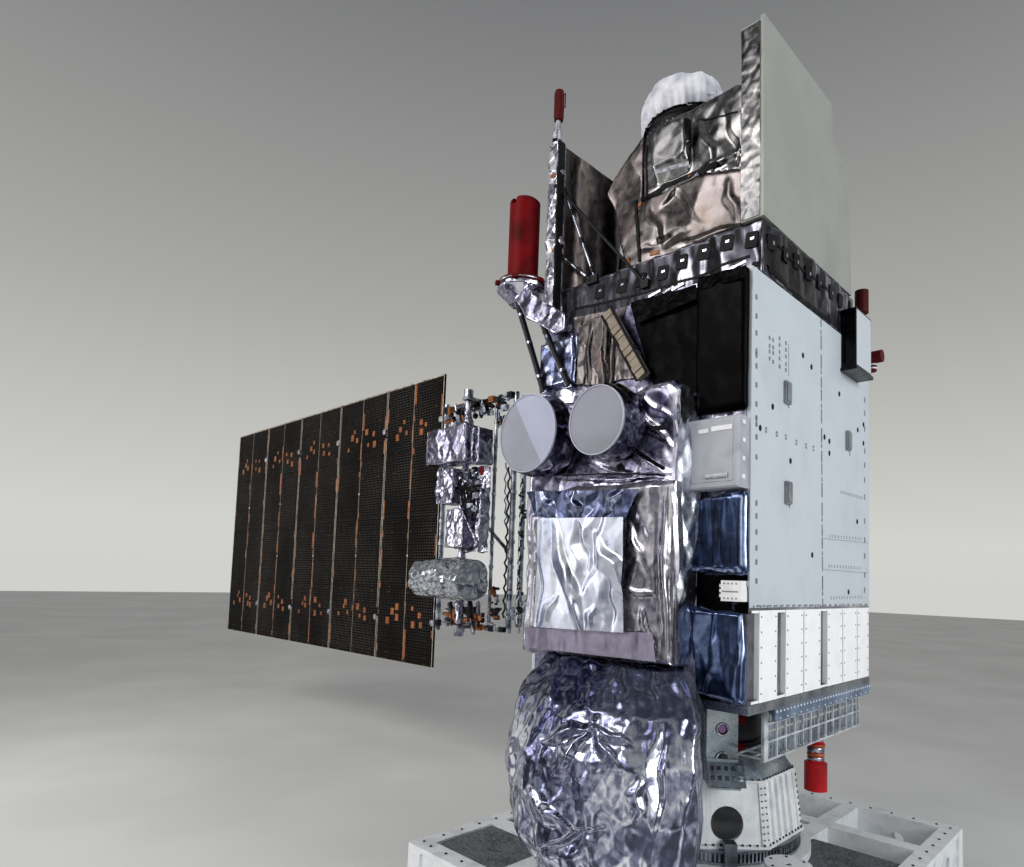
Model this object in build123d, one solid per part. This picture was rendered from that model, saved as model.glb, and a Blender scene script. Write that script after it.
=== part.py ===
# Large weather satellite on its round adapter and square floor dolly, one node per real piece.
# Millimetres. Origin on the vertical centre line at the floor, +Z up, +X out of the pale radiator
# face, -Y out of the foil face with the two dishes; the solar wing runs towards -X.
import os
from math import sin, cos, tan, radians, pi
from build123d import *

os.makedirs("parts", exist_ok=True)

# Bus box
BUS_X = 1030            # half width of the bus across the radiator faces
BUS_Y = 1190            # half depth of the bus
BUS_H = 3050            # height of the bus box
WALL = 35               # honeycomb wall thickness
AFT_T = 60              # aft deck thickness
NET_UP = 660            # lower edge of the main radiator above the underside of the walls
SKIN = 6                # folded sheet thickness
PAD_T = 70              # thickness of the film and foil blankets on the front wall
CORE_R = 500            # central thrust cylinder and the adapter cone below it
CONE_H = 450            # height of the adapter cone

# Floor dolly
DOLLY_X = 1600          # half width
DOLLY_Y = 2000          # half length
DOLLY_Z0 = 130          # underside of its beams
DOLLY_Z1 = 550          # top of its beams
BEAM = 160              # beam width
RAIL_X = 620            # centre of the inner rails
CROSS_Y = 1130          # centre of the cross beams
WEB_IN = 20             # depth of the channel recess in the outer beam faces
FLANGE_T = 45           # channel flange height
PORT_R = 62             # round lightening ports in the beam webs
TREAD_T = 16            # tread plate thickness
FOOT_R = 110            # levelling foot radius
FOOT_H = 30
STEM_R = 45
BOLT_X = 1520           # floor bolt rectangle, half size
BOLT_Y = 1920
BOLT_R = 14
SEAT_R = 900            # round seat plate for the adapter
SEAT_T = 70
SEAT_RIM = 60           # the block under the seat plate is this much longer than the plate
LID = (1070, -640, 165, 270)    # x, y, radius, height of the round jack cover on the tread

# Adapter
RING_R = 820            # base ring, a channel standing on its web
RING_H = 110
RING_IN = 670           # inner radius of the ring
RING_RIBS = 32
DRUM_A0 = 745           # half size across flats of the drum at its foot
DRUM_A1 = 690           # and at its top
DRUM_H = 500
DRUM_T = 25             # drum wall
PORTHOLE_R = 130
PORTHOLE_UP = 175       # porthole centre above the drum's foot
COLLAR_H = 220
COLLAR_A1 = 560         # collar's half size across flats at its top
POST_W = 240            # hold-down posts: width, depth and distance from the centre line
POST_D = 120
POST_R = 770
POST_AZ = 40            # turned this far either side of -Y
POST_PORT = 38
FITTING_R = 42          # round release fittings on the posts

# Instrument deck and what stands on it
DECK_H = 440            # height of the instrument deck
DECK_X0 = -970
DECK_YF = -1030         # front edge of the deck
DECK_YR = 800           # rear edge of the deck
LIP = 30                # deck skin
RAD_T = 30              # upper radiator thickness
RAD_H = 1540            # front top corner of the upper radiator above the deck
RAD_YR = 730            # rear edge of the upper radiator
CLOSE_D = 150           # depth of the folded strip down the radiator's front edge
IMG_X0 = -140           # imager: left edge above its seam, right edge, front and back
IMG_X1 = 800
IMG_YF = -930
IMG_YB = 280
IMG_LOW = 600           # height of the lower blanket, from the deck to the seam
IMG_HIGH = 610          # and of the upper one, from the seam to the imager's top
SEAM_X = 440            # from here to its right edge the seam drops
SEAM_DROP = 105
SCAN_X = -50            # round aperture on top
SCAN_Y = -450
SCAN_R = 330
SCAN_NECK = 40          # height of the neck under the aperture ring
SCAN_H = 200            # height of the aperture ring
BONNET_R = 365
BONNET_H = 300
HOOD_X = -930           # half-round sunshade of the second instrument
HOOD_Y = -700
HOOD_R = 285
HOOD_T = 12
HOOD_H = 1630           # height of its high side, on the left
HOOD_LOW = 1070         # and of its low side
TOWER = (-980, -1130)   # antenna mast, x and y
TOWER_W = 140
TOWER_D = 116
TOWER_H = 1940          # height of the mast over the bus
TOWER_HEAD = 130        # tapered part at its top
CAP_R = 42              # capped antenna on the mast
CAP_UP = 110            # height of the neck below it
CAP_H = 285
CAN = (-1320, -1200)    # capped antenna outboard of the corner, x and y
CAN_R = 145
CAN_UP = 550            # underside of the can above the bus
CAN_H = 800
CAN_FLANGE_R = 225
CAN_FLANGE_T = 50
CAN_CUP = 170           # depth of the cup below the flange

# Front face
BAY_YF = -1420          # front of the antenna bay
BAY_X0 = -900
BAY_X1 = 545
BAY_UP = 230            # underside of the bay above the underside of the bus
BAY_H = 2010
STRIP_W = 62            # upright foil strip beside the bay
SQUARE_T = 140          # square blanket in front of the bay
SQUARE_X0 = -790
SQUARE_X1 = 650
SQUARE_H = 1300
DISH_R = (320, 262)     # left and right dish: radius, x, and how far below the bay's top its centre is
DISH_X = (-678, 50)
DISH_DOWN = (255, 250)
DISH_D = 270            # depth of the foil drum behind each dish
DISH_RIM = 14
BAG = [                 # depth below the bay, centre x, half width, centre y, half depth of the bagged mass
    (1500, 220, 420, -1640, 230),
    (1390, 220, 610, -1660, 360),
    (1190, 180, 750, -1680, 410),
    (890, 160, 810, -1680, 415),
    (590, 120, 810, -1640, 375),
    (290, 60, 780, -1560, 300),
    (0, 0, 640, -1400, 175),
]
BAG_SIDES = 20

# Wing
WING_UP = 1580          # height of the wing's drive axis above the underside of the bus
DRIVE_R = 170
DRIVE_L = 150
SHAFT_R = 80
PANEL_W = 1370
PANEL_H = 3960
PANEL_T = 30
PANEL_GAP = 20
PANEL_N = 5
PANEL_X0 = -4080        # inner edge of the first panel
HINGE_X = -2550         # fold axis between boom and instrument frame
TUBE_R = 35
ARM_Z = 1180            # yoke hinges above and below the drive axis
PANEL_HZ = 1320         # panel hinges above and below the drive axis
KNUCKLE = 9             # panel hinge knuckle radius
PIN_R = 4
H1 = 60                 # offset of the first panel hinge from the panel's middle plane
H2 = 25                 # offset of the other panel hinges
YOKE_PIN = 12
YOKE_KNUCKLE = 26
FIRST_PIN = 6
FIRST_KNUCKLE = 16
RUN = 4                 # end float between turning pieces
FIT = 0.05              # radial clearance of a shaft in its bearing
FRAME_DOWN = 1420       # reach of the instrument frame below and above the drive axis
FRAME_UP = 1480
GIM = (-3250, -250)     # gimbal axis, x and y
GIM_PIN = 20
MAST_R = 45

# Places worked out from the sizes above
SEAT_Z1 = DOLLY_Z1 + SEAT_T
DRUM_Z0 = SEAT_Z1 + RING_H
DRUM_Z1 = DRUM_Z0 + DRUM_H
COLLAR_Z1 = DRUM_Z1 + COLLAR_H
AFT_Z0 = COLLAR_Z1 + CONE_H
BUS_Z0 = AFT_Z0 + AFT_T
BUS_Z1 = BUS_Z0 + BUS_H
NET_Z0 = BUS_Z0 + NET_UP
DECK_Z = BUS_Z1 + DECK_H
RAD_Z1 = DECK_Z + RAD_H
IMG_SEAM = DECK_Z + IMG_LOW
IMG_Z1 = IMG_SEAM + IMG_HIGH
SCAN_Z0 = IMG_Z1 + SCAN_NECK
SCAN_Z1 = SCAN_Z0 + SCAN_H
BONNET_Z1 = SCAN_Z1 + BONNET_H
HOOD_Z1 = DECK_Z + HOOD_H
HOOD_Z2 = DECK_Z + HOOD_LOW
TOWER_Z1 = BUS_Z1 + TOWER_H
CAP_Z0 = TOWER_Z1 + CAP_UP
CAP_Z1 = CAP_Z0 + CAP_H
CAN_Z0 = BUS_Z1 + CAN_UP
CAN_Z1 = CAN_Z0 + CAN_H
BAY_Z0 = BUS_Z0 + BAY_UP
BAY_Z1 = BAY_Z0 + BAY_H
SQUARE_Z1 = BAY_Z0 + SQUARE_H
WING_Z = BUS_Z0 + WING_UP
FRAME_Z0 = WING_Z - FRAME_DOWN
FRAME_Z1 = WING_Z + FRAME_UP
PITCH = PANEL_W + PANEL_GAP
IN_X = HINGE_X - 90             # inner and outer upright of the instrument frame
OUT_X = PANEL_X0 + 65
MID_X = IN_X - 350              # light upright between them
SPAR_X = HINGE_X + 80           # upright spar of the boom
YOKE_ST = (WING_Z - ARM_Z, WING_Z + ARM_Z)
PANEL_ST = (WING_Z - PANEL_HZ, WING_Z + PANEL_HZ)
SIDE_X0 = BAY_X1 + STRIP_W + 5  # blankets to the right of the bay
SIDE_X1 = BUS_X - 12

UP = (Align.CENTER, Align.CENTER, Align.MIN)


def block(x0, x1, y0, y1, z0, z1):
    size = Box(abs(x1 - x0), abs(y1 - y0), abs(z1 - z0))
    return Pos((x0 + x1) / 2, (y0 + y1) / 2, (z0 + z1) / 2) * size


def can(x, y, z0, z1, r):
    return Pos(x, y, z0) * Cylinder(r, z1 - z0, align=UP)


def rod(p, q, r):
    p = Vector(*p)
    d = Vector(*q) - p
    return extrude(Plane(origin=p, z_dir=d.normalized()) * Circle(r), d.length)


def bar(p, q, w, h, up=(0, 0, 1)):
    # beam from p to q, w wide across up and h deep along it
    p = Vector(*p)
    d = Vector(*q) - p
    side = d.normalized().cross(Vector(*up)).normalized()
    return extrude(Plane(origin=p, x_dir=side, z_dir=d.normalized()) * Rectangle(w, h), d.length)


def outline(points):
    return make_face(Polyline(*points, close=True))


def sheet_x(points, x0, x1):
    # outline in (y, z) pushed from x0 to x1
    return extrude(Plane(origin=(x0, 0, 0), x_dir=(0, 1, 0), z_dir=(1, 0, 0)) * outline(points), x1 - x0)


def sheet_y(points, y0, y1):
    # outline in (x, z) pushed from y0 to y1
    return extrude(Plane(origin=(0, y1, 0), x_dir=(1, 0, 0), z_dir=(0, -1, 0)) * outline(points), y1 - y0)


def turned(points, x=0, y=0):
    # profile in (radius, z) turned about the upright axis through x, y
    return Pos(x, y, 0) * revolve(Plane.XZ * outline(points), Axis.Z)


def octagon(apothem, z):
    return Plane(origin=(0, 0, z)) * Rot(0, 0, 22.5) * RegularPolygon(apothem, 8, major_radius=False)


def eight_sided(a0, z0, a1, z1):
    return loft([octagon(a0, z0), octagon(a1, z1)])


def joined(pieces):
    pieces = list(pieces)
    return pieces[0].fuse(*pieces[1:]) if len(pieces) > 1 else pieces[0]


def tab(x, y, z0, z1, r, x_root, y_root, thick):
    # hinge lug: a round eye at x, y and a flat tail that runs to its root
    z = (z0 + z1) / 2
    return can(x, y, z0, z1, r) + bar((x, y, z), (x_root, y_root, z), thick, z1 - z0)


# Floor dolly: welded box beams with channel faces and round ports, treads, feet and a round seat
def dolly_frame():
    plan = Rectangle(2 * DOLLY_X, 2 * DOLLY_Y)
    columns = ((-DOLLY_X + BEAM, -RAIL_X - BEAM / 2), (-RAIL_X + BEAM / 2, RAIL_X - BEAM / 2),
               (RAIL_X + BEAM / 2, DOLLY_X - BEAM))
    rows = ((-DOLLY_Y + BEAM, -CROSS_Y - BEAM / 2), (-CROSS_Y + BEAM / 2, CROSS_Y - BEAM / 2),
            (CROSS_Y + BEAM / 2, DOLLY_Y - BEAM))
    for x0, x1 in columns:
        for y0, y1 in rows:
            plan -= Pos((x0 + x1) / 2, (y0 + y1) / 2) * Rectangle(x1 - x0, y1 - y0)
    frame = Pos(0, 0, DOLLY_Z0) * extrude(plan, DOLLY_Z1 - DOLLY_Z0)
    z_mid = (DOLLY_Z0 + DOLLY_Z1) / 2
    web_z0 = DOLLY_Z0 + FLANGE_T
    web_z1 = DOLLY_Z1 - FLANGE_T
    for s in (-1, 1):
        for y0, y1 in rows:
            frame -= block(s * DOLLY_X, s * (DOLLY_X - WEB_IN), y0, y1, web_z0, web_z1)
        for x0, x1 in columns:
            frame -= block(x0, x1, s * DOLLY_Y, s * (DOLLY_Y - WEB_IN), web_z0, web_z1)
        for y in (-CROSS_Y * 1.35, 0, CROSS_Y * 1.35):
            frame -= rod((s * DOLLY_X, y, z_mid), (s * (DOLLY_X - BEAM), y, z_mid), PORT_R)
        for x in (-1070, 1070):
            frame -= rod((x, s * DOLLY_Y, z_mid), (x, s * (DOLLY_Y - BEAM), z_mid), PORT_R)
    tread_z = DOLLY_Z1 - TREAD_T
    for x0, x1 in (columns[0], columns[2]):
        for y0, y1 in rows[:2]:
            frame += block(x0, x1, y0, min(y1, 700), tread_z - TREAD_T, tread_z)
    frame += block(-RAIL_X, RAIL_X, -SEAT_R - SEAT_RIM, SEAT_R + SEAT_RIM, DOLLY_Z1 - SEAT_T, DOLLY_Z1)
    frame += can(0, 0, DOLLY_Z1, SEAT_Z1, SEAT_R)
    x, y, r, h = LID
    frame += can(x, y, tread_z, tread_z + h, r) - can(x, y, tread_z + h - 12, tread_z + h, 22)
    for sx in (-1, 1):
        for sy in (-1, 1):
            x = sx * BOLT_X
            y = sy * BOLT_Y
            frame += can(x, y, 0, FOOT_H, FOOT_R) + can(x, y, FOOT_H, DOLLY_Z0, STEM_R)
            frame -= can(x, y, 0, 2 * FOOT_H, BOLT_R)
    return frame


# Adapter: channel ring with ribs and clamps, eight-sided drum, collar with two posts, cone
def adapter_ring():
    z0 = SEAT_Z1
    z1 = DRUM_Z0
    lip = 20
    web = RING_R - 60
    ring = turned([(RING_IN, z0), (RING_R, z0), (RING_R, z0 + lip), (web, z0 + lip), (web, z1 - lip),
                   (RING_R, z1 - lip), (RING_R, z1), (RING_IN, z1), (RING_IN, z1 - lip),
                   (web - 30, z1 - lip), (web - 30, z0 + lip), (RING_IN, z0 + lip)])
    ribs = [Rot(0, 0, 360 / RING_RIBS * k) * block(web - 5, RING_R - 10, -8, 8, z0 + lip / 2, z1 - lip / 2)
            for k in range(RING_RIBS)]
    toe = DRUM_Z0 + 20
    clamps = []
    for k in range(4):
        clamp = block(RING_R - 4, RING_R + 34, -48, 48, z0, toe + 45)
        clamp += block(RING_R - 60, RING_R + 34, -48, 48, toe, toe + 45)
        clamps.append(Rot(0, 0, 45 + 90 * k) * clamp)
    return joined([ring] + ribs + clamps)


def adapter_drum():
    drum = eight_sided(DRUM_A0, DRUM_Z0, DRUM_A1, DRUM_Z1)
    drum += eight_sided(DRUM_A0 + 35, DRUM_Z0, DRUM_A0 + 35, DRUM_Z0 + 20)
    drum += eight_sided(DRUM_A1 + 18, DRUM_Z1 - 16, DRUM_A1 + 18, DRUM_Z1)
    drum -= eight_sided(DRUM_A0 - DRUM_T, DRUM_Z0, DRUM_A1 - DRUM_T, DRUM_Z1)
    z_port = DRUM_Z0 + PORTHOLE_UP
    half0 = DRUM_A0 * tan(radians(22.5))
    half1 = DRUM_A1 * tan(radians(22.5))
    foot = DRUM_Z0 + 16
    head = DRUM_Z1 - 12
    out = (1, 0, 0)
    for k in range(8):
        turn = Rot(0, 0, 45 * k)
        drum += turn * bar((DRUM_A0 - 6, half0, foot), (DRUM_A1 - 6, half1, head), 62, 30, out)
        if k % 2:
            door = bar((DRUM_A0 - 2, 0, foot + 6), (DRUM_A1 - 2, 0, head - 6), 2 * half1 - 120, 18, out)
            drum += turn * door
            drum -= turn * rod((DRUM_A1 - 90, 0, z_port), (DRUM_A0 + 60, 0, z_port), PORTHOLE_R)
        else:
            for u in (-165, -55, 55, 165):
                v = u * half1 / half0
                drum += turn * bar((DRUM_A0 + 6, u, foot), (DRUM_A1 + 6, v, head), 56, 34, out)
    return drum


def post_place(sign):
    return Rot(0, 0, sign * POST_AZ) * Pos(0, -POST_R, 0)


def adapter_collar():
    collar = eight_sided(DRUM_A1, DRUM_Z1, COLLAR_A1, COLLAR_Z1)
    collar += eight_sided(COLLAR_A1, COLLAR_Z1 - 20, COLLAR_A1, COLLAR_Z1)
    collar -= eight_sided(DRUM_A1 - DRUM_T, DRUM_Z1, COLLAR_A1 - DRUM_T, COLLAR_Z1 - 20)
    collar -= can(0, 0, COLLAR_Z1 - 30, COLLAR_Z1, CORE_R - 40)
    w = POST_W / 2
    d = POST_D / 2
    for sign in (1, -1):
        post = block(-w, w, -d, d, DRUM_Z1, AFT_Z0)
        post -= block(-w + 14, w - 14, -d + 14, d, DRUM_Z1 + 40, AFT_Z0 - 30)
        post += block(-w, w, -d, POST_R - COLLAR_A1, DRUM_Z1, DRUM_Z1 + 24)
        for z in (COLLAR_Z1 - 20, COLLAR_Z1 + 200):
            post -= rod((0, -d, z), (0, d, z), POST_PORT)
        top = DRUM_Z1 + 190
        plate = bar((20, -d - 4, top), (20, -d - 130, DRUM_Z1 + 20), POST_W + 40, 12, (0, 1, 0))
        for i in range(5):
            for j in range(2):
                u = -88 + 54 * i
                t = 0.32 + 0.36 * j
                y = -d - 4 - 126 * t
                z = top - 170 * t
                plate -= Pos(u, y, z) * Rot(-36, 0, 0) * Box(34, 60, 38)
        post += plate + block(-w, w, -d - 20, -d, top - 25, top + 10)
        post += block(-w, w, -d - 130, -d, DRUM_Z1, DRUM_Z1 + 14)
        collar += post_place(sign) * post
    return collar


def post_fittings():
    # two round release fittings on the outer side of each post
    x0 = POST_W / 2
    pairs = []
    for sign in (1, -1):
        for z in (DRUM_Z1 + 270, DRUM_Z1 + 500):
            pairs.append(post_place(sign) * rod((sign * x0, -10, z), (sign * (x0 + 62), -10, z), FITTING_R))
    return Compound(children=pairs)


def adapter_cone():
    z0 = COLLAR_Z1
    z1 = AFT_Z0
    r = CORE_R
    return turned([(r - 30, z0), (r + 40, z0), (r + 40, z0 + 18), (r, z0 + 30), (r, z1 - 40),
                   (r + 55, z1 - 20), (r + 55, z1), (r - 30, z1)])


# Bus: aft deck, thrust cylinder, walls, finned lower radiator
def aft_deck():
    deck = block(-BUS_X, BUS_X, -BUS_Y, BUS_Y, AFT_Z0, BUS_Z0)
    return deck - can(0, 0, AFT_Z0, BUS_Z0, CORE_R - 60)


def centre_cylinder():
    return can(0, 0, BUS_Z0, BUS_Z1 - WALL, CORE_R)


def radiator_panel():
    return block(BUS_X - WALL, BUS_X, -BUS_Y, BUS_Y, NET_Z0, BUS_Z1)


def far_side_panel():
    return block(-BUS_X, -BUS_X + WALL, -BUS_Y, BUS_Y, BUS_Z0, BUS_Z1)


def front_panel():
    return block(-BUS_X + WALL, BUS_X - WALL, -BUS_Y, -BUS_Y + WALL, BUS_Z0, BUS_Z1)


def rear_panel():
    return block(-BUS_X + WALL, BUS_X - WALL, BUS_Y - WALL, BUS_Y, BUS_Z0, BUS_Z1)


def top_panel():
    return block(-BUS_X + WALL, BUS_X - WALL, -BUS_Y + WALL, BUS_Y - WALL, BUS_Z1 - WALL, BUS_Z1)


def lower_wall():
    inner = BUS_X - WALL
    wall = block(inner - 40, inner, -BUS_Y + WALL, BUS_Y - WALL, BUS_Z0, NET_Z0)
    wall += block(inner, BUS_X - SKIN, -BUS_Y, BUS_Y, NET_Z0 - 30, NET_Z0)
    return wall + block(inner, BUS_X - SKIN, -BUS_Y, BUS_Y, BUS_Z0, BUS_Z0 + 30)


PLATES = [(-1050, -770), (-630, -320), (-300, 20), (160, 490), (510, 840), (860, 1150)]    # y from, to


def heat_plates():
    # upright hat-section plates, joined by a strip at their feet and one at their heads
    z0 = BUS_Z0 + 10
    z1 = NET_Z0 - 20
    strips = [block(BUS_X - SKIN, BUS_X, -BUS_Y + 40, BUS_Y - 40, z, z + 18) for z in (z0, z1 - 18)]
    hats = []
    for y0, y1 in PLATES:
        hats.append(block(BUS_X - SKIN, BUS_X + SKIN, y0, y1, z0, z1))
        for y in (y0, y1 - SKIN):
            hats.append(block(BUS_X - WALL + 1, BUS_X, y, y + SKIN, BUS_Z0 + 31, NET_Z0 - 31))
    return joined(strips + hats)


def aft_beam():
    z0 = AFT_Z0 - 90
    foot = AFT_Z0 - 12
    beam = block(BUS_X - SKIN, BUS_X + SKIN, -790, BUS_Y, z0, AFT_Z0 - SKIN)
    beam += block(BUS_X - 90, BUS_X, -790, BUS_Y, foot, AFT_Z0)
    for k in range(9):
        y = -760 + 240 * k
        beam += sheet_y([(BUS_X - SKIN, z0), (BUS_X - SKIN, foot), (BUS_X - 85, foot)], y, y + 10)
    return beam


LAT_X = 930             # open lattice under the aft edge: outer face, ends, height, bar size
LAT_Y0 = -700
LAT_Y1 = 1180
LAT_H = 400
LAT_Z0 = AFT_Z0 - LAT_H
LAT_BAR = 14
LAT_IN = 240            # depth of its bottom shelf


def lattice_skirt():
    h = LAT_BAR / 2
    bays = 12
    bars = []
    for i in range(bays + 1):
        y = LAT_Y0 + (LAT_Y1 - LAT_Y0) * i / bays
        bars.append(block(LAT_X - h, LAT_X + h, y - h, y + h, LAT_Z0, AFT_Z0))
        bars.append(block(LAT_X - LAT_IN, LAT_X + h, y - h, y + h, LAT_Z0, LAT_Z0 + LAT_BAR))
    for dz in (0, 130, 260):
        bars.append(block(LAT_X - h, LAT_X + h, LAT_Y0 - h, LAT_Y1 + h, LAT_Z0 + dz, LAT_Z0 + dz + LAT_BAR))
    for dx in (LAT_IN / 2, LAT_IN):
        bars.append(block(LAT_X - dx - h, LAT_X - dx + h, LAT_Y0 - h, LAT_Y1 + h, LAT_Z0, LAT_Z0 + LAT_BAR))
    bars.append(block(LAT_X - 2 * h, LAT_X + h, LAT_Y0 - 60, LAT_Y0 - h, LAT_Z0, AFT_Z0))
    return joined(bars)


def capped_cylinder():
    x = LAT_X - LAT_IN / 2
    z = LAT_Z0
    return turned([(0, z - 470), (95, z - 470), (95, z - 238), (68, z - 225), (68, z - 100), (76, z - 100),
                   (76, z - 75), (60, z - 60), (60, z), (0, z)], x, 490)


# Front face: antenna bay with its upright strip, square blanket, bagged mass, side blankets, boxes
def antenna_bay():
    bay = block(BAY_X0, BAY_X1, BAY_YF, -BUS_Y, BAY_Z0, BAY_Z1)
    return bay + block(BAY_X1, BAY_X1 + STRIP_W, BAY_YF + 8, -BUS_Y, BAY_Z0, BAY_Z1 - 40)


def square_blanket():
    face = BAY_YF - SQUARE_T
    pad = block(SQUARE_X0, SQUARE_X1, face, BAY_YF, BAY_Z0, SQUARE_Z1)
    pad = chamfer(pad.faces().sort_by(Axis.Y)[0].edges(), 45)
    return pad + block(SQUARE_X0 + 120, SQUARE_X1 - 420, face - 22, face, BAY_Z0 + 190, SQUARE_Z1 - 220)


def wrapped_instrument():
    rings = []
    for down, x, a, y, b in BAG:
        steps = [2 * pi * k / BAG_SIDES for k in range(BAG_SIDES)]
        plane = Plane(origin=(0, 0, BAY_Z0 - down))
        rings.append(plane * outline([(x + a * cos(t), y + b * sin(t)) for t in steps]))
    return loft(rings, ruled=True)


BLANKETS = {            # x from, x to, thickness, height above the underside of the bus from, to
    "front_blanket_top": (SIDE_X0, SIDE_X1, PAD_T, 2030, BUS_H - 10),
    "front_blanket_middle": (SIDE_X0, SIDE_X1, PAD_T, 900, 1440),
    "front_blanket_low": (SIDE_X0, SIDE_X1, PAD_T, 20, 640),
    "front_blanket_left": (-1020, -570, PAD_T, BUS_H - 570, BUS_H - 120),
}


def padded(name):
    x0, x1, t, low, high = BLANKETS[name]
    pad = block(x0, x1, -BUS_Y - t, -BUS_Y, BUS_Z0 + low, BUS_Z0 + high)
    return chamfer(pad.faces().sort_by(Axis.Y)[0].edges(), t * 0.4)


def white_box():
    z0 = BUS_Z0 + 1470
    z1 = z0 + 495
    box = block(SIDE_X0, SIDE_X1, -BUS_Y - 150, -BUS_Y, z0, z1)
    box = chamfer(box.faces().sort_by(Axis.Y)[0].edges(), 12)
    return box + block(SIDE_X0 + 45, SIDE_X1 - 45, -BUS_Y - 156, -BUS_Y - 150, z0 + 45, z1 - 45)


def connector_box():
    z0 = BUS_Z0 + 700
    box = block(870, SIDE_X1, -BUS_Y - 100, -BUS_Y, z0, z0 + 140)
    for k in range(3):
        z = z0 + 25 + 34 * k
        box += block(850, 870, -BUS_Y - 85, -BUS_Y - 25, z, z + 22)
    return box


def dish(k):
    # foil drum with a round face that has a raised rim and a slight dome
    r = DISH_R[k]
    face = DISH_D - DISH_RIM
    body = turned([(0, 0), (r - 12, 0), (r - 12, face), (r, face), (r, DISH_D), (r - 10, DISH_D),
                   (r - 14, DISH_D - 5), (r / 2, DISH_D + 2), (0, DISH_D + 4)])
    return Pos(DISH_X[k], BAY_YF, BAY_Z1 - DISH_DOWN[k]) * Rot(90, 0, 0) * body


def feed_legs():
    # wide left leg, thin foil sheet and the narrow right leg of the feed's stand
    back = -BUS_Y
    z = BAY_Z1
    left = sheet_y([(-560, z + 225), (-235, z + 165), (-222, z + 660), (-300, z + 780), (-560, z + 755)],
                   back - 60, back)
    web = sheet_y([(-240, z + 180), (100, z + 180), (-150, z + 700), (-225, z + 700)], back - 22, back)
    right = bar((-200, back - 45, z + 760), (160, back - 45, z + 160), 30, 74, (1, 0, 0.6))
    ties = [block(-232, -160, back - 60, back, z + 700, z + 735),
            block(90, 170, back - 60, back, z + 162, z + 200)]
    return joined([left, web, right] + ties)


# Instrument deck and what stands on it
def instrument_deck():
    deck = block(DECK_X0, BUS_X, DECK_YF, DECK_YR, BUS_Z1, DECK_Z)
    return deck - block(DECK_X0 + LIP, BUS_X - LIP, DECK_YF + LIP, DECK_YR - LIP, BUS_Z1, DECK_Z - LIP)


def upper_radiator():
    edge = [(DECK_YF, DECK_Z), (DECK_YF - 20, RAD_Z1), (260, RAD_Z1 + 40), (340, RAD_Z1 - 300),
            (RAD_YR - 60, RAD_Z1 - 330), (RAD_YR, DECK_Z)]
    back = BUS_X - RAD_T
    plate = sheet_x(edge, back, BUS_X)
    top = RAD_Z1 - 25
    strip = sheet_x([(DECK_YF, DECK_Z), (DECK_YF - 19, top), (DECK_YF + 20, top), (DECK_YF + 40, DECK_Z)],
                    back - CLOSE_D, back)
    ribs = [block(back - 60, back, y, y + 12, DECK_Z, RAD_Z1 - 380) for y in (-640, -200, 240, 560)]
    braces = [bar((back - 8, y, RAD_Z1 - 500), (IMG_X1 + 60, y, DECK_Z + 6), 30, 30, (0, 1, 0))
              for y in (420, 640)]
    low = IMG_Z1 + 45
    gusset = sheet_y([(IMG_X1 - 390, low), (back, RAD_Z1 - 20), (back, low)], -700, -688)
    return joined([plate, strip] + ribs + braces + [gusset])


def imager_base():
    # lower part of the imager with the flared flank on its left
    lower = sheet_y([(-215, DECK_Z), (IMG_X1, DECK_Z), (IMG_X1, IMG_SEAM - SEAM_DROP), (SEAM_X, IMG_SEAM),
                     (IMG_X0, IMG_SEAM), (-440, IMG_SEAM - 50), (-315, DECK_Z + 130)], IMG_YF, IMG_YB)
    root = IMG_SEAM - IMG_LOW / 2
    flank = sheet_y([(-330, root), (IMG_X0, root), (IMG_X0, IMG_Z1 - 20), (-260, IMG_Z1 - 120),
                     (-490, IMG_Z1 - 290), (-557, IMG_Z1 - 390), (-440, IMG_SEAM - 50)], IMG_YF, -420)
    return lower + flank

def imager_body():
    box = sheet_y([(IMG_X0, IMG_SEAM), (SEAM_X, IMG_SEAM), (IMG_X1, IMG_SEAM - SEAM_DROP),
                   (IMG_X1, IMG_Z1 - 40), (IMG_X1 - 60, IMG_Z1), (IMG_X0 + 90, IMG_Z1),
                   (IMG_X0, IMG_Z1 - 60)], IMG_YF + 10, IMG_YB - 60)
    z = IMG_SEAM
    nose = sheet_x([(IMG_YF + 10, z + 60), (IMG_YF - 90, z + 180), (IMG_YF - 90, z + 490),
                    (IMG_YF + 10, z + 530)], 20, 330)
    foot = SCAN_R + 70
    neck = turned([(0, IMG_Z1), (foot, IMG_Z1), (SCAN_R + 20, SCAN_Z0), (0, SCAN_Z0)], SCAN_X, SCAN_Y)
    return joined([box, nose, neck])


def imager_drum():
    r = SCAN_R
    return turned([(0, SCAN_Z0), (r, SCAN_Z0), (r, SCAN_Z1 - 60), (r + 14, SCAN_Z1 - 40), (r + 14, SCAN_Z1),
                   (0, SCAN_Z1)], SCAN_X, SCAN_Y)


def bonnet():
    r = BONNET_R
    z = BONNET_Z1
    return turned([(0, SCAN_Z1), (r, SCAN_Z1), (r, z - 90), (r - 12, z - 45), (r - 45, z - 12), (r - 90, z),
                   (0, z)], SCAN_X, SCAN_Y)


def second_instrument():
    # round sunshade, open at the back, cut on the slant, over a box that carries it
    x, y, r = HOOD_X, HOOD_Y, HOOD_R
    floor = DECK_Z + HOOD_T
    shell = can(x, y, DECK_Z, HOOD_Z1, r) - can(x, y, floor, HOOD_Z1, r - HOOD_T)
    high = HOOD_Z1 + 5
    above = sheet_y([(x - r - 5, high), (x + r + 5, HOOD_Z2), (x + r + 5, high)], y - r - 5, y + r + 5)
    rear = block(x - r, x + r, y + r * 0.6, y + r, DECK_Z + 700, HOOD_Z1)
    core = block(x - 170, x + 170, y - 150, y + 150, floor, DECK_Z + 640)
    lens = can(x, y, DECK_Z + 640, DECK_Z + 780, 120)
    foot = block(x + 40, x + r, y + r * 0.5, y + r + 260, DECK_Z, DECK_Z + 420)
    return joined([shell - above - rear, core, lens, foot])


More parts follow.
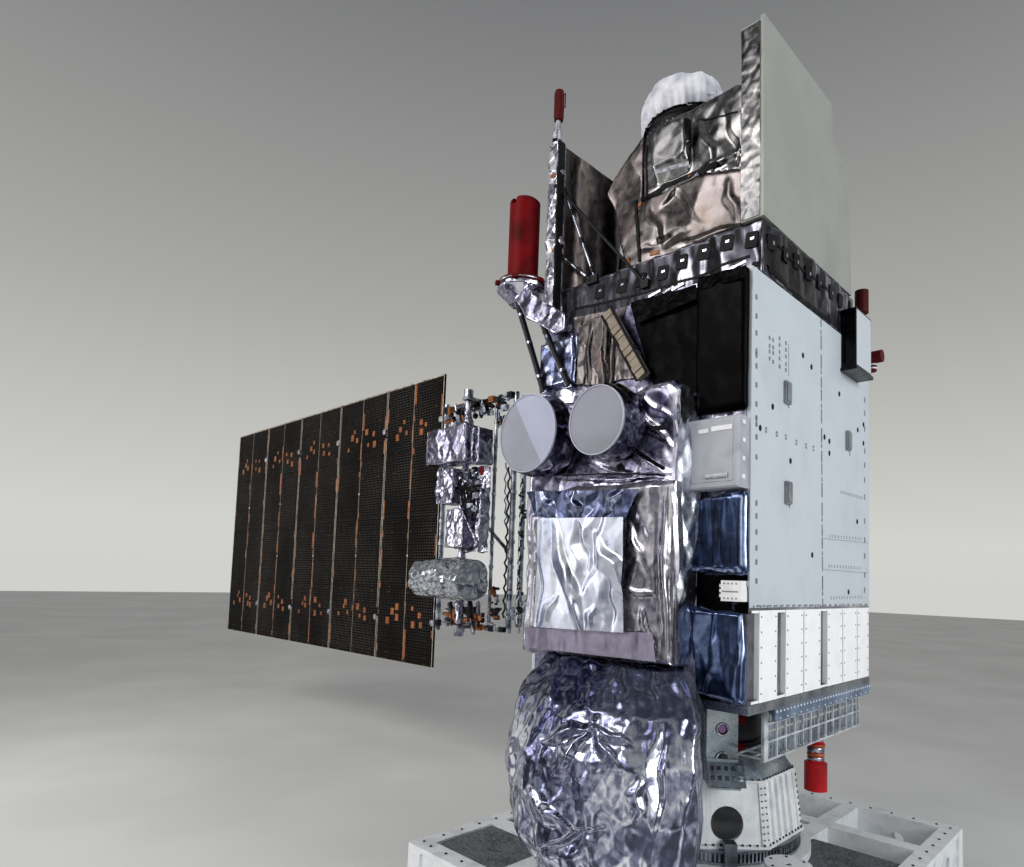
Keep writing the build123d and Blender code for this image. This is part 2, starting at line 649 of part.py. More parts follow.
def antenna_tower():
    x, y = TOWER
    w = TOWER_W / 2
    d = TOWER_D / 2
    neck_z = TOWER_Z1 - TOWER_HEAD
    mast = block(x - w, x + w, y - d, y + d, BUS_Z1, neck_z)
    head = loft([Plane(origin=(x, y, neck_z)) * Rectangle(TOWER_W, TOWER_D),
                 Plane(origin=(x, y, TOWER_Z1)) * Rectangle(80, 70)])
    neck = can(x, y, TOWER_Z1, CAP_Z0, 26)
    edge = x + w - 8
    braces = [rod((edge, y + 30, DECK_Z + 950), (-560, DECK_YF - 17, DECK_Z + 16), 15),
              rod((edge, y + 30, DECK_Z + 290), (-600, DECK_YF - 17, DECK_Z - 10), 15),
              rod((edge, y, DECK_Z + 900), (0, DECK_YF - 18, DECK_Z - 220), 13)]
    feet = [block(-640, -520, DECK_YF - 28, DECK_YF, DECK_Z - 50, DECK_Z + 25),
            block(-35, 35, DECK_YF - 34, DECK_YF, DECK_Z - 260, DECK_Z - 190)]
    return joined([mast, head, neck] + braces + feet)


def tower_antenna_cap():
    x, y = TOWER
    grip = CAP_Z1 - 190
    flutes = [Pos(x + CAP_R * cos(t), y + CAP_R * sin(t), CAP_Z0 + 20) * Cylinder(5, CAP_H - 40, align=UP)
              for t in [pi / 4 * k for k in range(8)]]
    cap = joined([can(x, y, CAP_Z0, CAP_Z1, CAP_R)] + flutes)
    root = x + CAP_R - 4
    handle = block(root, root + 44, y - 4, y + 4, grip + 130, grip + 138)
    handle += block(root, root + 44, y - 4, y + 4, grip, grip + 8)
    handle += block(root + 36, root + 44, y - 4, y + 4, grip, grip + 138)
    return cap + handle


def can_bracket():
    # foil cup under the flange, a gusset to the front wall and two struts down to it
    x, y = CAN
    z1 = CAN_Z0 - CAN_FLANGE_T
    z0 = z1 - CAN_CUP
    cup = turned([(0, z0), (110, z0), (235, z1 - 40), (235, z1), (0, z1)], x, y)
    front = -BUS_Y - PAD_T - 5
    z = BUS_Z1
    arm = sheet_y([(x + 60, z1 - 20), (x + 180, z1 - 20), (-1040, z + 320), (-650, z + 45), (-650, z - 105),
                   (-760, z - 105), (-1100, z + 120), (x + 40, z0 + 20)], front - 60, front)
    foot = block(-760, -650, front, -BUS_Y, z - 105, z - 10)
    struts = []
    end_z = z - 594
    for x_top, x_end in ((x + 10, -900), (x + 180, -600)):
        struts.append(rod((x_top, front - 20, z0 + 50), (x_end, front - 20, end_z), 16))
        struts.append(block(x_end - 35, x_end + 35, front - 36, -BUS_Y, end_z - 22, end_z + 18))
    return joined([cup, arm, foot] + struts)


def can_flange():
    x, y = CAN
    z0 = CAN_Z0 - CAN_FLANGE_T
    r = CAN_FLANGE_R
    ear = block(r - 20, r + 34, -26, 26, z0, CAN_Z0 - 18)
    ears = [Pos(x, y, 0) * Rot(0, 0, 60 * k) * ear for k in range(6)]
    return joined([can(x, y, z0, CAN_Z0, r)] + ears)


def red_can():
    x, y = CAN
    r = CAN_R
    shell = turned([(0, CAN_Z0), (r + 12, CAN_Z0), (r + 12, CAN_Z0 + 26), (r, CAN_Z0 + 26), (r, CAN_Z1 - 22),
                    (r - 22, CAN_Z1), (0, CAN_Z1)], x, y)
    return shell - block(x - 30, x + 30, y - r, y - r + 46, CAN_Z1 - 70, CAN_Z1)


def corner_box():
    # recessed electronics box at the radiator's top rear, with a ledge under it
    back = BUS_X
    face = BUS_X + 128
    z = BUS_Z1 - 310
    box = block(back, face, 475, 860, z, z + 530)
    box -= block(back + 20, face - 22, 475, 500, z + 40, z + 490)
    return box + block(back, face + 14, 455, 880, z - 28, z)


def rear_antennas():
    # two capped antennas on the rear corner: one on the deck's edge, one on the side wall
    y = 1110
    z = BUS_Z1 - 50
    stem = BUS_Z1 + 410
    upper = joined([can(990, y + 10, BUS_Z1, stem, 30), can(990, y + 10, stem, stem + 220, 62)])
    side = joined([rod((BUS_X, y, z), (BUS_X + 30, y, z), 40),
                   rod((BUS_X + 30, y, z), (BUS_X + 150, y, z), 58),
                   block(BUS_X, BUS_X + 70, y - 40, y + 40, z - 135, z - 115),
                   can(BUS_X + 64, y, z - 135, z, 34)])
    return Compound(children=[upper, side])


# Wing drive, boom, instrument frame and gimbal
def drive_housing():
    x0 = -BUS_X
    x1 = x0 - DRIVE_L
    bore = rod((x0, 0, WING_Z), (x1, 0, WING_Z), SHAFT_R + FIT)
    body = joined([rod((x0, 0, WING_Z), (x0 - 22, 0, WING_Z), DRIVE_R + 50),
                   rod((x0, 0, WING_Z), (x1, 0, WING_Z), DRIVE_R)])
    fin = block(x0 - 90, x0 - 10, -9, 9, DRIVE_R - 8, DRIVE_R + 46)
    fins = [Pos(0, 0, WING_Z) * Rot(60 * k, 0, 0) * fin for k in range(6)]
    return joined([body] + fins) - bore


def wing_boom():
    plate_x = -BUS_X - DRIVE_L - RUN
    hub_x = plate_x - 140
    parts = [rod((-BUS_X - 10, 0, WING_Z), (hub_x - 10, 0, WING_Z), SHAFT_R),
             rod((plate_x, 0, WING_Z), (plate_x - 36, 0, WING_Z), DRIVE_R - 20),
             block(hub_x - 156, hub_x + 4, -110, 110, WING_Z - 160, WING_Z + 160)]
    root = hub_x - 76
    for s in (-1, 1):
        parts.append(rod((root, 0, WING_Z + s * 110), (SPAR_X, 0, WING_Z + s * ARM_Z), TUBE_R))
    parts.append(rod((SPAR_X, 0, WING_Z - ARM_Z - 160), (SPAR_X, 0, WING_Z + ARM_Z + 160), TUBE_R))
    parts.append(rod((root, 0, WING_Z), (SPAR_X, 0, WING_Z), TUBE_R))
    for z in YOKE_ST:
        clamp = Plane(origin=(SPAR_X, 16, z), x_dir=(0, 0, 1), z_dir=(0, -1, 0)) * SlotOverall(330, 96)
        parts.append(extrude(clamp, 32))
        for dz in (-60, 60):
            parts.append(tab(HINGE_X, 0, z + dz - 20, z + dz + 20, YOKE_KNUCKLE, SPAR_X, 0, 28))
        parts.append(can(HINGE_X, 0, z - 60, z + 60, YOKE_PIN))
    return joined(parts)


def instrument_frame():
    z0 = FRAME_Z0
    z1 = FRAME_Z1
    parts = [rod((IN_X, 0, z0), (IN_X, 0, z1), TUBE_R),
             rod((MID_X, 0, z0 + 40), (MID_X, 0, z1 - 40), TUBE_R - 13),
             rod((OUT_X, 0, z0 - 60), (OUT_X, 0, z1 + 60), TUBE_R)]
    for z in (z0 + 40, z1 - 40):
        parts.append(rod((IN_X, 0, z), (OUT_X, 0, z), TUBE_R - 5))
    parts.append(rod((IN_X, 0, WING_Z - 490), (OUT_X, 0, WING_Z + 560), TUBE_R - 13))
    for z in YOKE_ST:
        parts.append(tab(HINGE_X, 0, z - 36, z + 36, YOKE_KNUCKLE, IN_X, 0, 28))
    ax1 = PANEL_X0 + PANEL_GAP / 2
    for z in PANEL_ST:
        for dz in (-50, 50):
            parts.append(tab(ax1, H1, z + dz - 12, z + dz + 12, FIRST_KNUCKLE, OUT_X, 0, 24))
        parts.append(can(ax1, H1, z - 50, z + 50, FIRST_PIN))
    for z, s in ((z0 + 40, -1), (z1 - 40, 1)):
        x, y = GIM
        parts.append(block(x - 50, x + 50, y - 60, 0, z - 20, z + 20))
        parts.append(can(x, y, min(z + 18 * s, z + 110 * s), max(z + 18 * s, z + 110 * s), 58))
    frame = joined(parts)
    for z in YOKE_ST:
        frame -= can(HINGE_X, 0, z - 50, z + 50, YOKE_PIN + FIT)
    for z in (z0 + 40, z1 - 40):
        frame -= can(GIM[0], GIM[1], z - 22, z + 22, GIM_PIN + FIT)
    return frame


def gimbal_mast():
    # upright mast with its pins, the foil boxes, the dark back sheet, the fan sheet and a slant rod
    x, y = GIM
    z0 = FRAME_Z0 + 60 + RUN
    z1 = FRAME_Z1 - 60 - RUN
    z = WING_Z
    return joined([
        can(x, y, z0, z1, MAST_R),
        can(x, y, z0 - RUN - 40, z1 + RUN + 40, GIM_PIN),
        block(x - 110, x + 240, y - 200, y + 10, z - 430, z + 50),
        block(x - 370, x - 30, y - 170, y + 10, z + 110, z + 550),
        block(x - 60, x + 470, y + 2, y + 16, z - 480, z + 560),
        sheet_y([(x - 40, z + 470), (x + 420, z + 230), (x + 450, z + 60), (x + 130, z + 20)], y - 70, y + 4),
        block(x + 395, x + 480, y - 140, y + 4, z - 410, z + 280),
        rod((x + 200, y - 230, z + 80), (x + 470, y - 150, z - 400), 12),
        block(x + 190, x + 215, y - 236, y - 190, z + 20, z + 90),
    ])


def sun_imager():
    x, y = GIM
    z = WING_Z + 590
    body = block(x - 450, x + 350, y - 300, y + 40, z, z + 440)
    body += block(x + 350, x + 470, y - 200, y + 30, z - 20, z + 410)
    ports = [rod((x + dx, y - 150, z + 440), (x + dx, y - 150, z + 530), 62) for dx in (-60, 210)]
    return joined([body] + ports) - can(x, y, z - 130, z + 570, MAST_R)


def bagged_sensor():
    x, y = GIM
    z = WING_Z - 800
    drum = rod((x - 500, y - 210, z), (x + 470, y - 210, z), 235)
    saddle = block(x - 130, x + 130, y - 60, y + 50, z - 180, z + 180)
    return joined([drum, saddle]) - can(x, y, z - 340, z + 320, MAST_R)


# Five solar panels, each hinged to the one before it, with knuckles on alternate faces
def panel(k):
    z_low = WING_Z - PANEL_H / 2
    xa = PANEL_X0 - k * PITCH
    xb = xa - PANEL_W
    ax = xa + PANEL_GAP / 2
    first = k == 0
    side = -1 if k % 2 else 1
    off = H1 if first else H2
    eye = FIRST_KNUCKLE if first else KNUCKLE
    pin = FIRST_PIN if first else PIN_R
    face = PANEL_T / 2
    parts = [block(xb, xa, -face, face, z_low, z_low + PANEL_H)]
    for z in PANEL_ST:
        z0 = z - 34
        z1 = z + 34
        if first:
            parts.append(block(xa - 50, xa - 6, 0, H1 + 10, z0, z1))
            parts.append(block(xa - 30, ax, H1 - 10, H1 + 10, z0, z1))
        else:
            parts.append(block(xa - 50, ax, side * (face + 1), side * (face + 7), z0, z1))
            parts.append(block(xa - 50, xa - 1, side * face, side * (face + 7), z0, z1))
        parts.append(can(ax, side * off, z0, z1, eye))
        if k < PANEL_N - 1:
            bx = xb - PANEL_GAP / 2
            s2 = -side
            for dz in (-50, 50):
                z0 = z + dz - 12
                z1 = z + dz + 12
                parts.append(block(xb + 50, bx, s2 * (face + 1), s2 * (face + 7), z0, z1))
                parts.append(block(xb + 50, xb + 1, s2 * face, s2 * (face + 7), z0, z1))
                parts.append(can(bx, s2 * H2, z0, z1, KNUCKLE))
            parts.append(can(bx, s2 * H2, z - 50, z + 50, PIN_R))
    body = joined(parts)
    for z in PANEL_ST:
        body -= can(ax, side * off, z - 36, z + 36, pin + FIT)
    return body


PIECES = [
    dolly_frame, adapter_ring, adapter_drum, adapter_collar, post_fittings, adapter_cone, aft_deck,
    centre_cylinder, radiator_panel, far_side_panel, front_panel, rear_panel, top_panel, lower_wall,
    heat_plates, aft_beam, lattice_skirt, capped_cylinder, antenna_bay, square_blanket, wrapped_instrument,
    white_box, connector_box, feed_legs, instrument_deck, upper_radiator, imager_base, imager_body,
    imager_drum, bonnet, second_instrument, antenna_tower, tower_antenna_cap, can_bracket, can_flange,
    red_can, corner_box, rear_antennas, drive_housing, wing_boom, instrument_frame, gimbal_mast,
    sun_imager, bagged_sensor]


def save(shape, name):
    export_step(shape, "parts/" + name + ".step")


for piece in PIECES:
    save(piece(), piece.__name__)
for name in BLANKETS:
    save(padded(name), name)
for i in range(len(DISH_R)):
    save(dish(i), "dish_%d" % (i + 1))
for i in range(PANEL_N):
    save(panel(i), "panel_%d" % (i + 1))
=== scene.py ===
import bpy
import random
import numpy as np
from math import sin, cos, pi, radians, hypot
from mathutils import Vector, Matrix
from mathutils.bvhtree import BVHTree


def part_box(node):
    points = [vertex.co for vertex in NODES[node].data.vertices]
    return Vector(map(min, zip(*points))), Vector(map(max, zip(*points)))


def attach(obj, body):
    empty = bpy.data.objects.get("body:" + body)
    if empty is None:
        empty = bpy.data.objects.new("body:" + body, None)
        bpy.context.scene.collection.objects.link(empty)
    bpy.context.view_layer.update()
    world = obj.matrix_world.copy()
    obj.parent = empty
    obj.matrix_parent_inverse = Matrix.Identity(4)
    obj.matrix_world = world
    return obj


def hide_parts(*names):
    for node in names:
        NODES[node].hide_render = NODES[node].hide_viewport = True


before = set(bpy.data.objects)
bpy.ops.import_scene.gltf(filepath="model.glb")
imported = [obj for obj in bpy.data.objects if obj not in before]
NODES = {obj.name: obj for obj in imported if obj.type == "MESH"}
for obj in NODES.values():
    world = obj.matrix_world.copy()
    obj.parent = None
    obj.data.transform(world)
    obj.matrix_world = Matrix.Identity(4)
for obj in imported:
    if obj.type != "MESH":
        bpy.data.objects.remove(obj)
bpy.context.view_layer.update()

MATS = {}
TREES = {}
X, Y, Z = Vector((1, 0, 0)), Vector((0, 1, 0)), Vector((0, 0, 1))

# camera: image size, focal length and centre in pixels, its turn, and its place in metres
IMAGE_W = 1024
IMAGE_H = 867
FOCAL = 660.83
CENTRE = (559.62, 531.34)
PITCH, ROLL, YAW = radians(4.1812), radians(1.8005), radians(43.1231)
EYE = Vector((3.1486, -5.3478, 2.7695))

# places on the object, in metres
DRIVE_Z = 3.54                      # height of the wing's drive axis
TOWER = (-0.98, -1.13)              # axis of the antenna tower
CAN = (-1.32, -1.2)                 # axis of the red can
APERTURE = (-0.05, -0.45)           # axis of the imager's round opening
SHADE = (-0.93, -0.7, 0.293)        # axis and radius of the sunshade's foil
DISHES = [(-0.678, 3.945, 0.32), (0.05, 3.95, 0.262)]      # x, z and radius
CYLINDER = (0.81, 0.49)             # axis of the capped cylinder
JACK = (1.07, -0.64)                # axis of the jack cover
FACE_X = 1.036                      # outer face of the heat plates and the aft beam
SHARP = 40                          # edges over this many degrees stay sharp on small hard forms

# solar panels: number, first edge, step from one to the next, width, lower and upper edge, face
PANELS, PANEL_X, PANEL_STEP, PANEL_WIDE = 5, -4.080, 1.390, 1.370
PANEL_LOW, PANEL_HIGH, PANEL_FACE = 1.56, 5.52, -0.0145


# camera and light
def camera_axes():
    level = Vector((-sin(YAW), cos(YAW), 0))
    side = Vector((cos(YAW), sin(YAW), 0))
    ahead = level * cos(PITCH) + Z * sin(PITCH)
    top = Z * cos(PITCH) - level * sin(PITCH)
    return side * cos(ROLL) + top * sin(ROLL), top * cos(ROLL) - side * sin(ROLL), ahead


RIGHT, TOP, AHEAD = camera_axes()


def add_camera():
    cam = bpy.data.cameras.new("camera")
    cam.sensor_width = 36
    cam.lens = FOCAL / IMAGE_W * cam.sensor_width
    cam.shift_x = -(CENTRE[0] - IMAGE_W / 2) / IMAGE_W
    cam.shift_y = (CENTRE[1] - IMAGE_H / 2) / IMAGE_W
    cam.clip_end = 200
    obj = bpy.data.objects.new("camera", cam)
    m = Matrix((RIGHT, TOP, -AHEAD)).transposed().to_4x4()
    m.translation = EYE
    obj.matrix_world = m
    bpy.context.collection.objects.link(obj)
    bpy.context.scene.camera = obj


def add_light(name, place, aim, size, power, colour):
    lamp = bpy.data.lights.new(name, "AREA")
    lamp.shape = "RECTANGLE"
    lamp.size, lamp.size_y = size
    lamp.energy = power
    lamp.color = colour
    obj = bpy.data.objects.new(name, lamp)
    obj.location = place
    obj.rotation_euler = (Vector(aim) - Vector(place)).to_track_quat("-Z", "Y").to_euler()
    bpy.context.collection.objects.link(obj)


# materials
def tone(text):
    # colour written as on a screen, made linear
    part = [int(text[i:i + 2], 16) / 255 for i in (0, 2, 4)]
    return tuple(((v + 0.055) / 1.055) ** 2.4 if v > 0.04045 else v / 12.92 for v in part) + (1,)


class Paint:
    # a material whose nodes are added one by one
    def __init__(self, name, metallic=0.0, coat=0.0, **fixed):
        self.mat = MATS[name] = bpy.data.materials.new(name)
        self.mat.use_nodes = True
        self.tree = self.mat.node_tree
        self.shader = self.tree.nodes["Principled BSDF"]
        for key, value in {"Metallic": metallic, "Coat Weight": coat, **fixed}.items():
            self.shader.inputs[key.replace("_", " ")].default_value = value

    def add(self, kind, inputs=(), **settings):
        node = self.tree.nodes.new("ShaderNode" + kind)
        for key, value in settings.items():
            setattr(node, key, value)
        for key, value in dict(inputs).items():
            if isinstance(value, bpy.types.NodeSocket):
                self.tree.links.new(value, node.inputs[key])
            else:
                node.inputs[key].default_value = value
        return node

    def math(self, operation, *values):
        return self.add("Math", enumerate(values), operation=operation).outputs[0]

    def vector(self, operation, *values, out=0):
        return self.add("VectorMath", enumerate(values), operation=operation).outputs[out]

    def where(self, stretch=(1, 1, 1), wobble=0.0, wobble_scale=3.0):
        coord = self.add("TexCoord").outputs["Object"]
        if wobble:
            noise = self.add("TexNoise",
                             {"Vector": coord, "Scale": wobble_scale, "Detail": 2.0}).outputs["Color"]
            coord = self.vector("MULTIPLY_ADD", noise, (wobble,) * 3, coord)
        return self.add("Mapping", {"Vector": coord, "Scale": stretch}).outputs[0]

    def noise(self, vector, scale, detail=3.0, rough=0.55, distortion=0.0, kind="FBM"):
        return self.add("TexNoise", {"Vector": vector, "Scale": scale, "Detail": detail, "Roughness": rough,
                                     "Distortion": distortion}, noise_type=kind).outputs["Fac"]

    def ramp(self, value, stops):
        node = self.add("ValToRGB", {"Fac": value})
        points = node.color_ramp.elements
        for i, (at, colour) in enumerate(stops):
            point = points[i] if i < 2 else points.new(at)
            point.position = at
            point.color = tone(colour)
        return node.outputs["Color"]

    def spread(self, value, low, high, start=0.3, end=0.7):
        return self.add("MapRange", {"Value": value, "From Min": start, "From Max": end, "To Min": low,
                                     "To Max": high}).outputs[0]

    def mix(self, fac, a, b):
        a, b = [tone(c) if isinstance(c, str) else c for c in (a, b)]
        return self.add("Mix", {0: fac, 6: a, 7: b}, data_type="RGBA").outputs[2]

    def finish(self, colour, rough=None, heights=(), **wires):
        # heights: (value, strength, distance in metres), one bump upon another
        wires["Base Color"] = colour
        if rough is not None:
            wires["Roughness"] = rough
        for value, strength, distance in heights:
            inputs = {"Height": value, "Strength": strength, "Distance": distance}
            if "Normal" in wires:
                inputs["Normal"] = wires["Normal"]
            wires["Normal"] = self.add("Bump", inputs).outputs[0]
        for name, socket in wires.items():
            self.tree.links.new(socket, self.shader.inputs[name])


def painted(name, shades, rough=(0.35, 0.5), metallic=0.0, patch=4.0, grain=90.0, bump=0.15, edge=None,
            stretch=(1, 1, 1), **fixed):
    # paint, machined metal or moulding: patches of shade, fine grain, worn edges
    p = Paint(name, metallic, **fixed)
    shades = shades.split()
    at = p.where(stretch)
    broad = p.noise(at, patch, 4.0)
    fine = p.noise(at, grain)
    stops = [(0.36 + 0.28 * i / (len(shades) - 1), c) for i, c in enumerate(shades)]
    colour = p.mix(p.spread(fine, 0.0, 0.16), p.ramp(broad, stops), shades[0])
    if edge:
        round_edge = p.add("Bevel", {"Radius": 0.006}, samples=3).outputs[0]
        flat = p.add("NewGeometry").outputs["Normal"]
        worn = p.spread(p.vector("DOT_PRODUCT", round_edge, flat, out="Value"), 0.0, 1.0, 0.99, 0.8)
        broken = p.spread(p.noise(at, 35.0), 0.0, 1.0, 0.42, 0.6)
        colour = p.mix(p.math("MULTIPLY", worn, broken), colour, edge)
    p.finish(colour, p.spread(fine, *rough), [(broad, bump * 0.5, 0.01), (fine, bump, 0.002)])


def foiled(name, shades, rough, metallic=1.0, crinkle=(7.0, 26.0), bump=0.35, tilt=2.6, stains=None,
           spread=(0.34, 0.72), shade=None, **fixed):
    # crumpled film: its colour carries a painted reflection that follows the way each small face lies, so
    # folds read in any light
    p = Paint(name, metallic, **fixed)
    shades = shades.split()
    at = p.where((1, 1, 1), 0.05, 7.0)
    lie = p.add("TexCoord").outputs["Normal"]
    shift = p.vector("MULTIPLY", at, (0.7,) * 3)
    # painted reflection: noise read through the way each small face lies, as mirrored surroundings would be
    sheen = p.noise(p.vector("MULTIPLY_ADD", lie, (tilt,) * 3, shift), 1.25, 2.0, 0.45)
    big = p.noise(at, crinkle[0], 2.0, 0.4, 0.3, "RIDGED_MULTIFRACTAL")
    small = p.noise(at, crinkle[1], 2.0, 0.5, 0.4, "RIDGED_MULTIFRACTAL")
    low, high = spread
    stops = [(low + 0.09 + (high - low) * i / (len(shades) - 1), c) for i, c in enumerate(shades)]
    colour = p.ramp(p.math("MULTIPLY_ADD", p.noise(at, crinkle[0] * 2, 2.0), 0.18, sheen), stops)
    if stains:
        stain, size, start = stains
        colour = p.mix(p.spread(p.noise(at, size), 0.0, 1.0, start, start + 0.12), colour, stain)
    if shade:
        z0, z1, dark, amount = shade
        height = p.add("SeparateXYZ", {"Vector": at}).outputs[2]
        colour = p.mix(p.spread(height, 0.0, amount, z0, z1), colour, dark)
    p.finish(colour, p.spread(p.noise(at, 14.0), *rough), [(big, bump, 0.012), (small, bump * 0.6, 0.003)])


def foil_materials():
    even, dull = (0.18, 0.34), (0.28, 0.45)
    foiled("foil_silver", "3d3b4a 737187 a3a1b4 cfcedb f6f6fa", even)
    # brighter copy of the silver foil, painted as if lit, for the shaded side of the bay
    foiled("foil_bright_painted_lit", "6a6f82 a0a4b6 cccfdc eceef4 ffffff", (0.16, 0.3))
    foiled("foil_sheet", "7c819a a6aabd c6c9d6 dddfe8 f1f2f6", (0.26, 0.4), 0.85, tilt=1.8, bump=0.06)
    foiled("foil_pale", "2f2e30 545355 7a797a a09f9d d0cfcd", (0.2, 0.36), bump=0.12, tilt=1.9)
    # brighter, less metallic copy of the foil, painted as if lit, for strips that sit in shade
    foiled("foil_painted_lit", "77748c 9d9ab2 bebbce e2e0ec ffffff", (0.2, 0.36), 0.3)
    foiled("foil_deck", "0a0a0d 1c1c23 3a3a43 6c6c77 b4b4be", (0.25, 0.42), 0.7, bump=0.15)
    foiled("foil_mast", "4a4858 95929e bfbcc8 e2e1e8 ffffff", (0.18, 0.32), 0.45)
    foiled("foil_violet", "1b1b27 45445a 7a7990 adabc0 e0e0ec", even)
    foiled("foil_blue", "262a3c 4a5070 777d9c a2a7c0 d9dbe8", even, 0.9)
    foiled("foil_grey", "2f2e35 5a5962 7e7c85 9d9ba4 c8c6cf", dull, 0.6, bump=0.15)
    foiled("foil_champagne", "292529 4b4547 6c6564 959090 d2cecd", (0.22, 0.38), bump=0.14, tilt=2.0,
           stains=("564636", 1.3, 0.60))
    foiled("foil_mauve", "504a5a 746e80 8f899c aca7b8", (0.35, 0.5), 0.75, bump=0.15)
    foiled("foil_beige", "484856 807e8c aaa7b0 cfcdd3 f4f3f8", even, 0.85)
    foiled("foil_bronze", "211e20 383335 524c4c 69625f 8f8886", dull, bump=0.12, tilt=2.0)
    foiled("foil_tan", "5d554b 81776a 9c9182 bdb3a5", (0.3, 0.45), 0.6, bump=0.15)
    # near-black foil of the corner box: partly its own dark foil, partly the painted shade of its recess
    foiled("foil_dark_and_painted_shade", "030305 0c0d13 1b1c28 4a4a5c a5a5bb", (0.15, 0.3), 0.8)
    foiled("film_blue", "11172a 263450 4a5a80 8b9bc0 d8deec", (0.14, 0.28), 0.65, (8.0, 26.0), 0.34,
           spread=(0.33, 0.72), Specular_IOR_Level=0.3)
    foiled("film_black", "000001 010102 020205 04050a 0a0c16", (0.3, 0.45), 0.0, (4.0, 14.0), 0.15,
           spread=(0.42, 0.86), Specular_IOR_Level=0.03)
    foiled("film_bag", "1a1c30 434660 7b7e99 b4b7cc eaebf6 ffffff", (0.12, 0.26), 0.88, (12.0, 38.0), 0.42,
           tilt=2.8, coat=0.3, stains=("34365c", 1.1, 0.60), shade=(1.55, 2.0, "1f2452", 0.75))
    foiled("film_clear", "3c424c 666c76 90969f c9cdd3 f4f6f8", (0.12, 0.26), 0.7, (6.0, 20.0), 0.2, coat=0.4)


def paint_materials():
    satin, soft, sheen = (0.35, 0.5), (0.3, 0.45), (0.22, 0.38)
    painted("dolly_white", "cfd3d7 eaecee dde0e3", (0.35, 0.55), edge="8d9094")
    painted("drum_white", "d3d7da eef0f1 e2e5e7", soft, edge="9aa0a6")
    painted("collar_grey", "6c7780 939ea6 b4bec5", (0.16, 0.3), 0.7, edge="e6eaec")
    painted("ring_steel", "4d5560 78818c 9aa2ab", (0.25, 0.4), 0.9, edge="d8dce0")
    # the radiator face is a mirror; this pale grey is a painted reflection of the pale surroundings
    painted("radiator_painted_reflection", "bcc4cb c6ced5 c1c9d0", (0.35, 0.48), patch=1.1, bump=0.05, coat=0.1)
    painted("radiator_upper", "8e918c 9a9d97 949791", (0.35, 0.48), patch=0.9, bump=0.05, coat=0.1,
            edge="5d6062")
    painted("plate_white", "f6f7f8 ffffff fafbfc", (0.4, 0.55), bump=0.04, edge="c9cdd2")
    painted("box_white", "9a9ca6 aeb0b9 a4a6af", satin, bump=0.06, edge="d8d8dc")
    painted("bright_white", "dfe0e2 f4f4f4 e8e8ea", (0.3, 0.5), bump=0.08, edge="a9a9ac")
    painted("dish_white", "83848f 90919f 8a8b98", (0.42, 0.55), patch=1.4, bump=0.03, edge="c9c9d2")
    painted("dish_pale", "b7b8c8 c6c7d4 bebfcd", (0.4, 0.5), patch=1.6, bump=0.04)
    painted("tube_silver", "4f5562 8d929f c3c7cf", (0.2, 0.36), 1.0, patch=9.0, edge="f0f0f2")
    painted("machined", "7b828c a6acb4 c4c9cf", sheen, 1.0, edge="eef0f2")
    painted("black_metal", "06070a 101216 0b0c10", (0.35, 0.55), 0.3, edge="4a4e56", Specular_IOR_Level=0.3)
    painted("blue_grey", "54657d 6f819a 8a9bb0", soft, 0.35, edge="c9d2dd")
    painted("tread_grey", "4a4e54 6b7076 5a5f65", (0.45, 0.6), 0.4, edge="a5a9ae", bump=0.4)
    painted("red_paint", "44070a 5e090e 720b11", (0.4, 0.55), edge="8a3034", Specular_IOR_Level=0.06)
    painted("dark_red", "300a0c 470f12 571417", (0.45, 0.6), edge="743834", stretch=(1, 1, 0.2), grain=30.0,
            Specular_IOR_Level=0.1)
    painted("vivid_red", "8a0d12 a81219 bf161e", satin, edge="c84a4e", Specular_IOR_Level=0.2)
    painted("tape_black", "030304 09090c 060608", (0.4, 0.6), bump=0.2, Specular_IOR_Level=0.15)
    painted("tape_orange", "6e3a14 96531f b2692e", satin, 0.2, bump=0.25, patch=20.0)
    painted("tape_silver", "8b8b99 c4c5d0 eceef4", (0.15, 0.3), 0.9, bump=0.4, patch=16.0)
    painted("lattice_grey", "8f959e c4c9d0 e2e6ea", soft, 0.2, patch=8.0, edge="ffffff")
    painted("film_grey_plate", "5c6874 7d8a98 9aa6b4", (0.25, 0.4), 0.3, patch=6.0, edge="c9d2dc")
    painted("fastener_grey", "6b7074 8a8f93 7d8286", satin, 0.3)
    # near-black paint that stands for the inside of holes: painted shade
    painted("hole_painted_shade", "06070a 0e1014 0a0b0e", (0.6, 0.75), Specular_IOR_Level=0.2)
    painted("green_paint", "1d5f55 2f8a7c 3fa596", satin, 0.2)
    painted("purple_lens", "2a1a4a 5a3a7a 8a5a90", (0.12, 0.25), 0.6, coat=0.6)
    painted("wire_blue", "1d3f7a 3769b0 2a55a0", (0.4, 0.5), patch=30.0)
    painted("wire_white", "c9ccd2 eceef0 dcdfe4", (0.4, 0.5), patch=30.0)
    painted("cloth_white", "b4b5c4 d8d8e2 ededf3", (0.6, 0.8), patch=7.0, grain=400.0, bump=0.35,
            Sheen_Weight=0.4, Sheen_Roughness=0.4)
    painted("panel_edge", "8f8577 b9b0a2 d9d2c6", soft, 0.6, patch=12.0, edge="efe9df")


def clear_material():
    # thin clear film that shows what is behind it, with milky creases
    p = Paint("film_see_through", coat=0.3)
    at = p.where((1, 1, 0.35), 0.05, 6.0)
    ridge = p.noise(at, 6.0, 3.0, 0.5, 0.4, "RIDGED_MULTIFRACTAL")
    p.finish(p.ramp(ridge, [(0.3, "9aa6b2"), (0.8, "f4f7f9")]), p.spread(p.noise(at, 8.0), 0.06, 0.2),
             [(ridge, 0.5, 0.01)], Alpha=p.spread(ridge, 0.06, 0.5, 0.35, 1.0))


